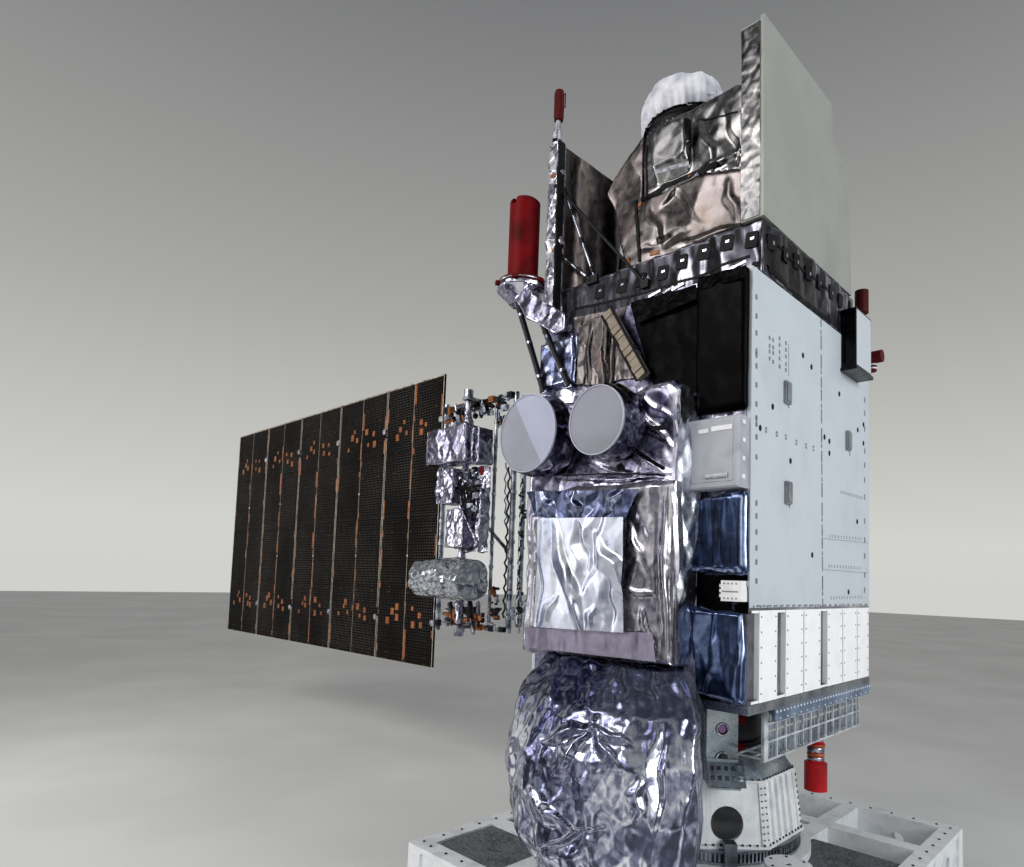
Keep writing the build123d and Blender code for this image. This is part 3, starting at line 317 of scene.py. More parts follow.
def split_material():
    # two half sheets of slightly different white that meet in a straight seam across the first dish
    p = Paint("dish_split")
    at = p.where()
    across = p.vector("DOT_PRODUCT", at, (0.85, 0.0, 0.52), out="Value")
    side = p.math("GREATER_THAN", across, 1.490)
    a = p.ramp(p.noise(at, 1.2), [(0.38, "868894"), (0.6, "989aaa")])
    b = p.ramp(p.noise(at, 1.2), [(0.38, "9ea2b8"), (0.6, "b0b4ca")])
    p.finish(p.mix(side, a, b), p.spread(p.noise(at, 60.0), 0.42, 0.55), [(p.noise(at, 40.0), 0.05, 0.001)])


def cell_material():
    # dark cover glass over rows of cells, with thin bright joints between the cells of a row
    p = Paint("cells", Specular_IOR_Level=0.03)
    at = p.where()
    split = p.add("SeparateXYZ", {"Vector": at}).outputs
    part = p.math("FRACT", p.math("MULTIPLY", split[0], 26.3))
    row = p.math("LESS_THAN", p.math("FRACT", p.math("MULTIPLY", split[2], 25.6)), 0.5)
    dash = p.math("MULTIPLY", p.math("LESS_THAN", part, 0.12), row)
    broad = p.noise(at, 2.2)
    fac = p.math("MULTIPLY", dash, p.spread(p.noise(at, 0.9, 2.0), 0.25, 0.9, 0.38, 0.62))
    glass = p.ramp(broad, [(0.35, "040405"), (0.55, "070606"), (0.72, "0d0b09")])
    p.finish(p.mix(fac, glass, "8f887f"), p.spread(broad, 0.4, 0.55), [(part, 0.04, 0.001)])


def panel_back_material():
    # dark back of a panel: upright runs of amber tape, cross straps, tie points
    p = Paint("panel_black", Specular_IOR_Level=0.06)
    at = p.where()
    across, _, up = p.add("SeparateXYZ", {"Vector": at}).outputs
    broad = p.noise(at, 3.0, 4.0)
    colour = p.ramp(broad, [(0.36, "0a0806"), (0.5, "15110d"), (0.64, "1e1913")])

    def bands(value, pitch, shift, width):
        return p.math("LESS_THAN", p.math("FRACT", p.math("MULTIPLY_ADD", value, 1 / pitch, shift)), width)

    tape = bands(across, 0.4633, 0.21, 0.045)
    strap = bands(up, 1.29, 0.23, 0.045)
    tie = p.math("MULTIPLY", bands(up, 0.43, 0.2, 0.10), bands(across, 0.4633, 0.26, 0.15))
    worn = p.spread(p.noise(at, 22.0), 0.55, 1.0)
    for mask, shade in ((strap, "2c2c30"), (tape, "6e431c"), (tie, "8a5524")):
        colour = p.mix(p.math("MULTIPLY", mask, worn), colour, shade)
    p.finish(colour, p.spread(p.noise(at, 60.0), 0.5, 0.68), [(tape, 0.3, 0.001), (broad, 0.1, 0.002)])


# meshes
def finish_piece(name, mesh, mat, slot, body="bus", sharp=None):
    mesh.name = name
    obj = bpy.data.objects.new(name, mesh)
    bpy.context.collection.objects.link(obj)
    mesh.materials.clear()
    mesh.materials.append(MATS[mat])
    mesh.polygons.foreach_set("use_smooth", [True] * len(mesh.polygons))
    if sharp:
        mesh.set_sharp_from_angle(angle=radians(sharp))
    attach(obj, body)
    return obj


def turns(count):
    return [2 * pi * k / count for k in range(count)]


class Batch:
    # many small forms gathered into one piece
    def __init__(self, name, mat, slot, body="bus"):
        self.name, self.mat, self.slot, self.body = name, mat, slot, body
        self.verts, self.faces = [], []

    def put(self, verts, faces):
        n = len(self.verts)
        self.verts += [Vector(v) for v in verts]
        self.faces += [tuple(i + n for i in f) for f in faces]

    def box(self, lo, hi, axes=None, centre=(0, 0, 0), cut=0.0):
        # box, its long edges cut off where cut is given, placed by axes when they are given
        lo, hi = Vector(lo), Vector(hi)
        lo, hi = Vector(map(min, lo, hi)), Vector(map(max, lo, hi))
        ring = [(lo.x, lo.y), (hi.x, lo.y), (hi.x, hi.y), (lo.x, hi.y)]
        if cut:
            ring = [(lo.x + cut, lo.y), (hi.x - cut, lo.y), (hi.x, lo.y + cut), (hi.x, hi.y - cut),
                    (hi.x - cut, hi.y), (lo.x + cut, hi.y), (lo.x, hi.y - cut), (lo.x, lo.y + cut)]
        n = len(ring)
        verts = [Vector((x, y, z)) for z in (lo.z, hi.z) for x, y in ring]
        if axes:
            a, b, d = axes
            verts = [Vector(centre) + v.x * a + v.y * b + v.z * d for v in verts]
        faces = [tuple(range(n - 1, -1, -1)), tuple(range(n, 2 * n))]
        faces += [(i, (i + 1) % n, n + (i + 1) % n, n + i) for i in range(n)]
        self.put(verts, faces)

    def tube(self, points, r, sides=10, closed=False):
        # round tube along points; r is one radius, or one for each point
        points = [Vector(p) for p in points]
        count = len(points)
        verts = []
        last = None
        for i, p in enumerate(points):
            a = points[i - 1] if (i or closed) else p
            b = points[(i + 1) % count] if (i < count - 1 or closed) else p
            along = (b - a).normalized()
            if last is None:
                last = along.orthogonal().normalized()
            side = last = (last - along * last.dot(along)).normalized()
            up = along.cross(side)
            radius = r[i] if hasattr(r, "__len__") else r
            verts += [p + radius * (cos(t) * side + sin(t) * up) for t in turns(sides)]
        faces = []
        for i in range(count if closed else count - 1):
            j = (i + 1) % count
            faces += [(i * sides + k, i * sides + (k + 1) % sides, j * sides + (k + 1) % sides, j * sides + k)
                      for k in range(sides)]
        if not closed:
            faces += [tuple(range(sides - 1, -1, -1)), tuple((count - 1) * sides + k for k in range(sides))]
        self.put(verts, faces)

    def disc(self, p, n, r, h, sides=12):
        # short round plug standing on p along n, its edge taken off
        p, n = Vector(p), Vector(n).normalized()
        self.tube([p - n * 0.001, p + n * h * 0.6, p + n * h], [r, r, r * 0.8], sides)

    def done(self):
        mesh = bpy.data.meshes.new(self.name)
        mesh.from_pydata([tuple(v) for v in self.verts], [], self.faces)
        mesh.validate()
        finish_piece(self.name, mesh, self.mat, self.slot, self.body, SHARP)


def done(*batches):
    for batch in batches:
        batch.done()


def dice(ix, iy, iz, salt):
    # even pseudo random number from 0 to 1 for each cell of space
    h = (ix * 73856093) ^ (iy * 19349663) ^ (iz * 83492791) ^ (salt * 2654435761)
    h &= 0xffffffff
    h = ((h ^ (h >> 15)) * 2246822519) & 0xffffffff
    h = ((h ^ (h >> 13)) * 3266489917) & 0xffffffff
    return ((h ^ (h >> 16)) & 0xffff) / 65535.0


def facets(p, salt):
    # a surface of flat faces that meet in sharp creases, from about -1 to 1, at unit spacing
    total = 0
    for part in (0, 1):
        cell = np.floor(p + 0.5 * part).astype(np.int64)
        best = np.full(len(p), -1e9)
        key = salt * 7 + part * 3
        for step in np.ndindex(3, 3, 3):
            at = [cell[:, k] + step[k] - 1 for k in range(3)]
            d = 0.5 * dice(*at, key + 303)
            for k in range(3):
                d = d - (p[:, k] - (at[k] + dice(*at, key + 101 * k) - 0.5 * part)) ** 2
            np.maximum(best, d, out=best)
        total = total + (best if part == 0 else -best)
    return total


def arrays(mesh):
    co, no = np.zeros(len(mesh.vertices) * 3), np.zeros(len(mesh.vertices) * 3)
    mesh.vertices.foreach_get("co", co)
    mesh.vertex_normals.foreach_get("vector", no)
    return co.reshape(-1, 3), no.reshape(-1, 3)


def smoothed(co, edges, rounds):
    for _ in range(rounds):
        total = np.zeros_like(co)
        count = np.zeros(len(co))
        np.add.at(total, edges[:, 0], co[edges[:, 1]])
        np.add.at(total, edges[:, 1], co[edges[:, 0]])
        np.add.at(count, edges.ravel(), 1)
        co = co * 0.5 + 0.5 * total / np.maximum(count, 1)[:, None]
    return co


def ridges(co, no, lines):
    # long folds, spindle shaped and steeper on one side: start, end, half width, depth
    push = np.zeros(len(co))
    for a, b, wide, deep in lines:
        a, b = np.array(a), np.array(b)
        ab = b - a
        long = np.linalg.norm(ab)
        t = (co - a) @ ab / long ** 2
        body = np.clip(2.2 * np.minimum(t + 0.08, 1.08 - t), 0, 1) ** 0.8
        away = co - (a + t[:, None] * ab)
        off = (away * no).sum(1)
        across = (np.cross(ab / long, no) * away).sum(1) / (wide * (0.25 + 0.75 * body))
        across = across + 0.25 * np.sin(9 * t + 20 * wide)
        side = np.where(across > 0, across * 0.8, -across * 1.9)
        push += deep * body * np.maximum(0, 1 - side) * (np.abs(off) < 0.14)
    return push


def crumple(mesh, layers, salt, before=0, after=0, hold=None, folds=()):
    # layers: spacing in metres, slope, and how the space is stretched, along Z or in all three ways
    edges = np.zeros(len(mesh.edges) * 2, np.int32)
    mesh.edges.foreach_get("vertices", edges)
    edges = edges.reshape(-1, 2)
    if before:
        mesh.vertices.foreach_set("co", smoothed(arrays(mesh)[0], edges, before).ravel())
        mesh.update()
    co, no = arrays(mesh)
    push = np.zeros(len(co))
    for i, (spacing, slope, stretch) in enumerate(layers):
        stretch = np.array(stretch if isinstance(stretch, tuple) else (1, 1, stretch))
        push += spacing * slope * 0.5 * facets(co * stretch / spacing, salt + 11 * i)
    if hold:
        push *= hold(co)
    push += ridges(co, no, folds)
    co = smoothed(co + no * push[:, None], edges, after)
    mesh.vertices.foreach_set("co", co.ravel())
    mesh.update()


def net_of(mesh):
    return [v.co.copy() for v in mesh.vertices], [tuple(f.vertices) for f in mesh.polygons]


def remeshed(name, source, voxel):
    # even net round a CAD node or a batch of forms
    verts, faces = net_of(NODES[source].data) if isinstance(source, str) else (source.verts, source.faces)
    mesh = bpy.data.meshes.new(name)
    mesh.from_pydata(verts, [], faces)
    obj = bpy.data.objects.new(name + ".raw", mesh)
    bpy.context.collection.objects.link(obj)
    mod = obj.modifiers.new("net", "REMESH")
    mod.mode = "VOXEL"
    mod.voxel_size = voxel
    graph = bpy.context.evaluated_depsgraph_get()
    out = bpy.data.meshes.new_from_object(obj.evaluated_get(graph))
    bpy.data.objects.remove(obj)
    bpy.data.meshes.remove(mesh)
    return out


def foil(name, source, mat, slot, voxel, salt, layers, body="bus", node=None, before=2, after=0,
         hold=None, folds=()):
    # crumpled shell in place of a CAD node; folds are given by photograph pixels on that node
    node = node or source
    mesh = remeshed(name, source, voxel)
    crumple(mesh, layers, salt, before, after, hold, lines_on(node, folds))
    obj = finish_piece(name, mesh, mat, slot, body)
    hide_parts(node)
    return obj


def grid(nu, nv, point, closed=False, flip=False):
    # net of nu by nv faces with a corner at each point(i, j); closed joins its last side to its first
    row = nu if closed else nu + 1
    verts = [point(i, j) for j in range(nv + 1) for i in range(row)]
    faces = []
    for j in range(nv):
        for i in range(nu):
            a, b = j * row + i, j * row + (i + 1) % row
            faces.append((a, a + row, b + row, b) if flip else (a, b, b + row, a + row))
    return verts, faces


def open_piece(name, net, mat, slot, layers=(), salt=0, after=0, folds=()):
    # thin sheet over a net, crumpled where layers are given; gives back the piece and its area
    mesh = bpy.data.meshes.new(name)
    mesh.from_pydata([tuple(v) for v in net[0]], [], net[1])
    if layers:
        crumple(mesh, layers, salt, after=after, folds=folds)
    obj = finish_piece(name, mesh, mat, slot)
    return obj, sum(f.area for f in mesh.polygons)


def film(name, corners, steps, mat, slot, salt, layers, rests, after=0, folds=()):
    # sheet over four corners, crumpled across its own plane
    a, b, c, d = [Vector(p) for p in corners]
    nu, nv = steps

    def point(i, j):
        u, v = i / nu, j / nv
        return (a * (1 - u) + b * u) * (1 - v) + (d * (1 - u) + c * u) * v

    obj, area = open_piece(name, grid(nu, nv, point, flip=True), mat, slot, layers, salt, after, folds)
    wide = max((b - a).length, (c - d).length)
    tall = max((d - a).length, (c - b).length)
    scale = max(1.0, (area / (wide * tall)) ** 0.5)
    min(area, wide * tall * scale * scale)


# finding places on the object
def cast(objs, origin, direction):
    best = None
    for o in objs:
        if o.name not in TREES:
            TREES[o.name] = BVHTree.FromPolygons(*net_of(o.data))
        place, normal, _, far = TREES[o.name].ray_cast(origin, direction)
        if place and (best is None or far < best[2]):
            best = (place, normal if normal.dot(direction) < 0 else -normal, far)
    return best


def sight(px, py):
    return (AHEAD + RIGHT * ((px - CENTRE[0]) / FOCAL) - TOP * ((py - CENTRE[1]) / FOCAL)).normalized()


def objects(names):
    return [NODES[o] if isinstance(o, str) else o for o in names]


def seen(px, py, *objs):
    # point and normal where the line of sight through a pixel of the photograph meets these pieces
    hit = cast(objects(objs), EYE, sight(px, py))
    return hit and hit[:2]


def lines_on(node, lines):
    # folds given by photograph pixels on a node: x and y of both ends, half width, depth
    out = []
    for x0, y0, x1, y1, wide, deep in lines:
        p, q = seen(x0, y0, node), seen(x1, y1, node)
        if p and q:
            out.append((p[0], q[0], wide, deep))
    return out


def strip(batch, pixels, width, *objs, lift=0.002, thick=0.0015, step=0.02):
    # ribbon laid on these pieces along a line of photograph pixels, width in metres
    ends = [e for e in [seen(x, y, *objs) for x, y in pixels] if e]
    rows = []
    for (p, n), (q, m) in zip(ends, ends[1:]):
        count = max(1, int((q - p).length / step))
        for i in range(1 if rows else 0, count + 1):
            t = i / count
            c = p.lerp(q, t)
            normal = n.lerp(m, t).normalized()
            side = (q - p).cross(normal).normalized() * width / 2
            row = []
            for s in (-1, 1):
                at = c + side * s
                hit = cast(objects(objs), at + normal * 0.15, -normal)
                row.append((hit[0] if hit and (hit[0] - at).length < 0.12 else at) + normal * lift)
            rows.append((row, normal))
    if len(rows) < 2:
        return
    verts, faces = [], []
    for row, normal in rows:
        verts += [row[0], row[1], row[1] + normal * thick, row[0] + normal * thick]
    last = 4 * (len(rows) - 1)
    for k in range(0, last, 4):
        faces += [(k + j, k + (j + 1) % 4, k + 4 + (j + 1) % 4, k + 4 + j) for j in range(4)]
    batch.put(verts, faces + [(3, 2, 1, 0), tuple(last + j for j in range(4))])


def pads(batch, spots, size, *objs, lift=0.0, cut=0.0, turn=0.0):
    # small raised rectangles, size (across, upright, thick), on these pieces at photograph pixels
    w, h, t = size
    for px, py in spots:
        hit = seen(px, py, *objs)
        if hit:
            p, n = hit
            side = Z.cross(n).normalized()
            top = n.cross(side)
            if turn:
                side, top = side * cos(turn) + top * sin(turn), top * cos(turn) - side * sin(turn)
            batch.box((-w / 2, -h / 2, lift - 0.002), (w / 2, h / 2, lift + t), (side, top, n), p, cut)


def patch(name, pixels, steps, mat, slot, node, lift, salt, layers, rests, after=0, folds=()):
    # flat film over four pixels of the photograph: x and y of its corners, top left first and clockwise
    spots = list(zip(pixels[::2], pixels[1::2]))
    p, n = seen(*[sum(s[i] for s in spots) / 4 for i in (0, 1)], node)
    p = p + n * lift
    corners = [EYE + d * ((p - EYE).dot(n) / d.dot(n)) for d in [sight(*s) for s in spots]]
    film(name, corners, steps, mat, slot, salt, layers, rests, after, lines_on(node, folds))


def corners_of(node):
    return [Vector(v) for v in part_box(node)]


# the object, region by region
def paint_nodes():
    table = {
        "dolly_white": "dolly_frame", "drum_white": "adapter_drum", "collar_grey": "adapter_collar",
        "ring_steel": "adapter_ring", "red_paint": "post_fittings can_flange red_can",
        "dark_red": "tower_antenna_cap rear_antennas", "vivid_red": "capped_cylinder",
        "black_metal": "adapter_cone imager_drum", "machined": "aft_deck centre_cylinder drive_housing",
        # radiator faces: their pale grey is a painted reflection of the surroundings
        "radiator_painted_reflection": "radiator_panel far_side_panel", "radiator_upper": "upper_radiator",
        "plate_white": "heat_plates", "foil_grey": "lower_wall", "film_black": "top_panel",
        "blue_grey": "aft_beam", "tube_silver": "instrument_frame wing_boom", "lattice_grey": "lattice_skirt",
        "box_white": "white_box",
        "bright_white": "connector_box", "dish_white": "dish_2", "dish_split": "dish_1",
        # corner box: dark foil, partly painted shade of its recess
        "foil_bronze": "second_instrument", "foil_violet": "front_panel", "foil_dark_and_painted_shade": "corner_box",
        "panel_black": "panel_1 panel_2 panel_3 panel_4 panel_5"}
    for mat, names in table.items():
        for name in names.split():
            data = NODES[name].data
            data.materials.clear()
            data.materials.append(MATS[mat])


def bay_foils():
    return foil("bay_foil", "antenna_bay", "foil_silver", "foil", 0.015, 3,
                [(0.5, 0.2, 0.8), (0.16, 0.15, 0.8), (0.06, 0.07, 1)], folds=[
                    (632, 402, 672, 446, 0.05, 0.03), (640, 396, 676, 420, 0.04, 0.02),
                    (622, 440, 668, 476, 0.05, 0.03), (640, 450, 672, 470, 0.03, -0.02),
                    (560, 478, 672, 476, 0.03, -0.03), (586, 462, 640, 478, 0.04, 0.02)])


def square_foils():
    # the square pad, and on it a bright inner sheet, a band above and a hem below
    node, pad = "square_blanket", "square_blanket_pad"
    square = foil(pad, node, "foil_beige", "foil", 0.013, 5,
                  [(0.5, 0.2, 0.6), (0.15, 0.15, 0.7), (0.06, 0.07, 1)],
                  folds=[(664, 500, 667, 655, 0.035, 0.03), (657, 510, 660, 660, 0.02, -0.015),
                         (671, 520, 672, 660, 0.02, -0.02), (628, 520, 648, 570, 0.05, 0.02),
                         (625, 588, 655, 594, 0.03, 0.02), (640, 600, 656, 660, 0.04, 0.025),
                         (530, 500, 532, 650, 0.03, 0.02)])
    patch("square_inner_sheet", (538, 518, 624, 517, 623, 633, 533, 627), (90, 100), "foil_sheet", "foil",
          node, 0.056, 61, [(0.4, 0.08, 0.5), (0.12, 0.05, 0.6)], pad, after=1,
          folds=[(560, 522, 588, 630, 0.09, 0.04), (572, 566, 586, 628, 0.05, 0.03),
                 (600, 534, 634, 588, 0.11, 0.045), (582, 524, 590, 572, 0.07, -0.03),
                 (606, 520, 588, 590, 0.12, -0.03), (545, 524, 541, 622, 0.09, -0.025),
                 (562, 596, 546, 630, 0.05, 0.025), (600, 606, 592, 631, 0.05, 0.02),
                 (613, 580, 617, 628, 0.07, -0.02)])
    patch("square_top_band", (528, 492, 640, 489, 626, 519, 536, 519), (90, 24), "foil_blue", "foil", node,
          0.040, 63, [(0.3, 0.2, 0.7), (0.12, 0.12, 1)], pad,
          folds=[(545, 492, 560, 518, 0.08, 0.03), (578, 492, 582, 518, 0.07, 0.035),
                 (600, 492, 588, 518, 0.06, -0.02), (626, 492, 606, 516, 0.06, 0.03)])
    patch("square_lower_hem", (525, 627, 652, 633, 656, 662, 524, 647), (100, 30), "foil_mauve", "foil", node,
          0.040, 65, [(0.2, 0.12, 0.3), (0.06, 0.05, 0.6)], pad)
    return square


def bag_foils():
    # five folds run out from one gathered place, the others down the sides and over the top
    foil("bagged_instrument_film", "wrapped_instrument", "film_bag", "bag_film", 0.016, 9,
         [(0.4, 0.2, 0.7), (0.15, 0.26, 0.7), (0.07, 0.2, 0.8)], before=6,
         hold=lambda co: np.clip(1.25 - 1.1 * (co[:, 0] - 0.1), 0.35, 1.1),
         folds=[(595, 728, 545, 745, 0.06, 0.05), (595, 728, 560, 770, 0.05, 0.04),
                (595, 728, 620, 770, 0.05, 0.04), (595, 728, 632, 744, 0.04, 0.03),
                (595, 728, 590, 700, 0.05, 0.03), (640, 780, 636, 820, 0.06, 0.04),
                (664, 730, 655, 830, 0.06, -0.04), (690, 700, 684, 820, 0.05, 0.04),
                (530, 790, 570, 830, 0.08, 0.05), (540, 850, 600, 830, 0.06, -0.04),
                (560, 664, 552, 706, 0.05, 0.035), (590, 664, 584, 702, 0.05, -0.03),
                (620, 664, 622, 706, 0.06, 0.035), (650, 666, 656, 708, 0.05, -0.03),
                (674, 668, 684, 708, 0.04, 0.03)])


def blanket_foils():
    for i, (part, mat, slot, layers) in enumerate([
            ("top", "film_black", "black_film", [(0.5, 0.1, 0.3), (0.14, 0.08, 0.5)]),
            ("middle", "film_blue", "blue_film", [(0.26, 0.32, 0.2), (0.08, 0.26, 0.22)]),
            ("low", "film_blue", "blue_film", [(0.28, 0.32, (1, 0.9, 0.25)), (0.1, 0.26, 0.35)]),
            ("left", "foil_blue", "blue_film", [(0.2, 0.25, 0.6), (0.08, 0.2, 0.8)])]):
        node = "front_blanket_" + part
        foil(node + "_film", node, mat, slot, 0.012, 20 + i, layers, after=1)


def leg_foils():
    # foil on the feed legs, and the taped bar that slants across them from a to b
    legs = foil("feed_leg_foil", "feed_legs", "foil_champagne", "champagne_foil", 0.010, 29,
                [(0.3, 0.25, 0.4), (0.1, 0.2, 0.6)],
                folds=[(592, 325, 590, 384, 0.04, 0.03), (604, 322, 606, 384, 0.03, -0.02),
                       (618, 330, 622, 384, 0.03, 0.02), (628, 350, 640, 384, 0.04, 0.02)])
    bar = Batch("feed_leg_bar", "foil_tan", "champagne_foil")
    edge = Batch("feed_leg_edges", "tape_black", "black_film")
    a, b = Vector((-0.205, -1.285, 4.965)), Vector((0.165, -1.285, 4.355))
    along = (b - a).normalized()
    side = along.cross(Y)
    long = (b - a).length
    for i in range(12):
        wave = 0.006 * sin(1.7 * i)
        bar.box((long * i / 12, -0.010 + wave, -0.05), (long * (i + 1) / 12, 0.05, 0.05), (along, Y, side),
                a, 0.004)
    for s in (-1, 1):
        edge.tube([p + side * 0.052 * s - Vector((0, 0.008, 0)) for p in (a, b)], 0.012, 8)
    done(bar, edge)
    return legs


def bag_skin():
    # clear outer film round the right side of the bagged mass, hanging in long upright folds
    # rings from the bottom up: height, then centre and reach along x, then centre and reach along y
    rings = [(0.72, 0.24, 0.50, -1.66, 0.30), (0.80, 0.24, 0.655, -1.675, 0.375),
             (1.0, 0.20, 0.79, -1.69, 0.43),
             (1.3, 0.18, 0.84, -1.69, 0.44), (1.6, 0.14, 0.85, -1.655, 0.40),
             (1.9, 0.09, 0.82, -1.575, 0.325),
             (2.17, 0.05, 0.66, -1.42, 0.20)]
    steps, tall = 90, 1.6

    def point(i, j):
        s = j / steps * (len(rings) - 1)
        k = min(int(s), len(rings) - 2)
        z, x, a, y, b = [rings[k][m] * (1 - s + k) + rings[k + 1][m] * (s - k) for m in range(5)]
        t = radians(-78 + 118 * i / steps)
        wave = 1 + 0.018 * sin(9 * t + 2.0 * z) + 0.010 * sin(23 * t - 3.1 * z)
        return x + a * cos(t) * wave, y + b * sin(t) * wave, z

    obj, area = open_piece("bag_outer_film", grid(steps, steps, point), "film_see_through", "bag_film",
                           [(0.3, 0.16, 0.4), (0.1, 0.12, 0.6)], 71)


def top_foils():
    slab = Batch("slab", "foil_deck", "foil")
    slab.box(*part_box("instrument_deck"))
    deck = foil("deck_foil", slab, "foil_deck", "foil", 0.018, 31, [(0.2, 0.22, 0.3), (0.07, 0.16, 0.5)],
                node="instrument_deck")
    base = foil("imager_base_blanket", "imager_base", "foil_champagne", "champagne_foil", 0.016, 33,
                [(0.5, 0.13, 0.7), (0.16, 0.07, 1)], after=1,
                folds=[(646, 200, 662, 250, 0.10, 0.035), (690, 176, 752, 226, 0.14, 0.04),
                       (640, 250, 690, 228, 0.07, -0.02), (672, 246, 742, 226, 0.06, 0.03),
                       (662, 190, 700, 222, 0.12, -0.03), (612, 176, 624, 255, 0.08, 0.04),
                       (728, 180, 738, 218, 0.06, 0.025)])
    body = foil("imager_blanket", "imager_body", "foil_pale", "foil", 0.015, 35,
                [(0.4, 0.12, 0.7), (0.13, 0.09, 1)],
                after=1, folds=[(700, 118, 716, 172, 0.09, 0.035), (724, 112, 738, 168, 0.08, -0.03),
                                (700, 172, 752, 158, 0.04, 0.03), (650, 190, 700, 176, 0.04, 0.02)])
    x, y = TOWER
    core = Batch("core", "foil_silver", "foil")
    core.box((x - 0.07, y - 0.058, 5.01), (x + 0.07, y + 0.058, 6.82), cut=0.012)
    core.tube([(x, y, 6.8), (x, y, 6.95)], [0.075, 0.045], 12)
    core.tube([(x, y, 6.9), (x, y, 7.06)], 0.026, 12)
    for z, r in ((5.2, 0.09), (5.52, 0.085), (5.86, 0.1), (6.2, 0.085), (6.52, 0.092)):
        core.tube([(x, y, z - 0.1), (x, y, z), (x, y, z + 0.12)], [0.06, r, 0.06], 12)
    mast = foil("tower_foil", core, "foil_mast", "foil", 0.009, 37, [(0.12, 0.22, 0.6), (0.045, 0.12, 1)],
                node="antenna_tower")
    foil("can_bracket_foil", "can_bracket", "foil_silver", "foil", 0.009, 39,
         [(0.14, 0.22, 1), (0.05, 0.12, 1)],
         before=1)
    return deck, base, body, mast


def wing_foils():
    foil("sun_imager_foil", "sun_imager", "foil_silver", "foil", 0.012, 41,
         [(0.22, 0.25, 1), (0.07, 0.18, 1)],
         "gimbal")
    foil("gimbal_foil", "gimbal_mast", "foil_silver", "foil", 0.012, 43, [(0.14, 0.35, 1), (0.05, 0.25, 1)],
         "gimbal", before=1)
    foil("bagged_sensor_film", "bagged_sensor", "film_clear", "bag_film", 0.012, 45,
         [(0.25, 0.3, (0.5, 1, 1)), (0.08, 0.25, 1)], "gimbal")


def fabric_bonnet():
    # gathered cloth cover: an open cap whose side is drawn into upright pleats over its elastic hem
    x, y = APERTURE
    profile = [(0.0, 7.25), (0.10, 7.255), (0.2, 7.25), (0.28, 7.235), (0.335, 7.2), (0.368, 7.13),
               (0.378, 7.05),
               (0.376, 6.97), (0.362, 6.92), (0.352, 6.895)]
    hem_r, hem_z = profile[-1]
    count, steps, drop, low_side = 240, 5, 0.045, radians(215)
    rings = []
    for (ra, za), (rb, zb) in zip(profile[1:], profile[2:]):
        rings += [(ra + (rb - ra) * k / steps, za + (zb - za) * k / steps) for k in range(steps)]
    rings.append(profile[-1])
    verts = [(x, y, profile[0][1])]
    for r, z in rings:
        deep = max(0.0, min(1.0, (r - 0.2) / 0.15))
        low = max(0.0, min(1.0, (7.15 - z) / 0.2))
        for t in turns(count):
            pleat = (0.003 + 0.011 * low) * sin(17 * t + 1.9 * sin(3 * t)) + (0.002
                                                                              + 0.006 * low) * sin(37 * t
                                                                              + 9 * z)
            sag = drop * cos(t - low_side) * (1 if z < 6.98 else 0.3)
            hump = 0.012 * sin(5 * t + 9 * r) + 0.01 * sin(11 * t - 14 * r)
            verts.append((x + (r + pleat * deep) * cos(t), y + (r + pleat * deep) * sin(t),
                          z - sag * deep + hump * 0.7))
    faces = [(0, 1 + k, 1 + (k + 1) % count) for k in range(count)]
    for n in range(len(rings) - 1):
        a, b = 1 + n * count, 1 + (n + 1) * count
        faces += [(a + k, b + k, b + (k + 1) % count, a + (k + 1) % count) for k in range(count)]
    obj, area = open_piece("aperture_bonnet", (verts, faces), "cloth_white", "fabric")
    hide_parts("bonnet")
    hem = Batch("bonnet_hem", "tape_black", "black_metal")
    hem.tube([(x + hem_r * cos(t), y + hem_r * sin(t), hem_z - drop * cos(t - low_side)) for t in turns(60)],
             0.008, 6, closed=True)
    hem.done()


def upper_wraps():
    # foil laid round the sunshade, down the radiator's front edge and over the gusset beside the aperture
    x0, y0, r = SHADE
    nu, nv, tall, foot = 110, 90, 1.3, 5.46

    def point(i, j):
        t = radians(-205 + 232 * i / nu)
        x = x0 + r * cos(t)
        top = 7.08 - (x - x0 + 0.29) / 0.58 * 0.56 + 0.008
        return x, y0 + r * sin(t), foot + (top - foot) * j / nv

    obj, area = open_piece("sunshade_foil", grid(nu, nv, point), "foil_bronze", "dark_foil",
                           [(0.4, 0.12, 0.4), (0.12, 0.09, 0.7)], 85)
    film("closeout_foil",
         [(0.852, -1.06, 6.93), (1.0, -1.06, 6.95), (1.0, -1.042, 5.46), (0.852, -1.042, 5.46)],
         (16, 130), "foil_pale", "foil", 87, [(0.2, 0.16, 0.5), (0.07, 0.1, 1)], "upper_radiator")
    film("gusset_film",
         [(0.41, -0.71, 6.712), (0.995, -0.71, 6.968), (0.995, -0.71, 6.708), (0.5, -0.71, 6.708)],
         (50, 24), "foil_tan", "champagne_foil", 89, [(0.2, 0.12, 1)], "upper_radiator")


def dish_details():
    rims = Batch("dish_rims", "dish_pale", "dish_white")
    nu, nv, front, deep, flat = 120, 22, -1.425, 0.245, 0.26
    for k, (x, z, r) in enumerate(DISHES, 1):

        def point(i, j):
            rr = r - 0.002 + 0.012 * sin(pi * (j / nv))
            t = 2 * pi * i / nu
            return x + rr * cos(t), front - deep * (j / nv), z + rr * sin(t)

        obj, area = open_piece("dish_wrap_%d" % k, grid(nu, nv, point, closed=True), "foil_violet", "foil",
                               [(0.2, 0.3, 1), (0.07, 0.2, 1)], 80 + k)
        rims.tube([(x + (r - 0.004) * cos(t), -1.692, z + (r - 0.004) * sin(t)) for t in turns(90)],
                  0.004, 8, closed=True)
    rims.done()


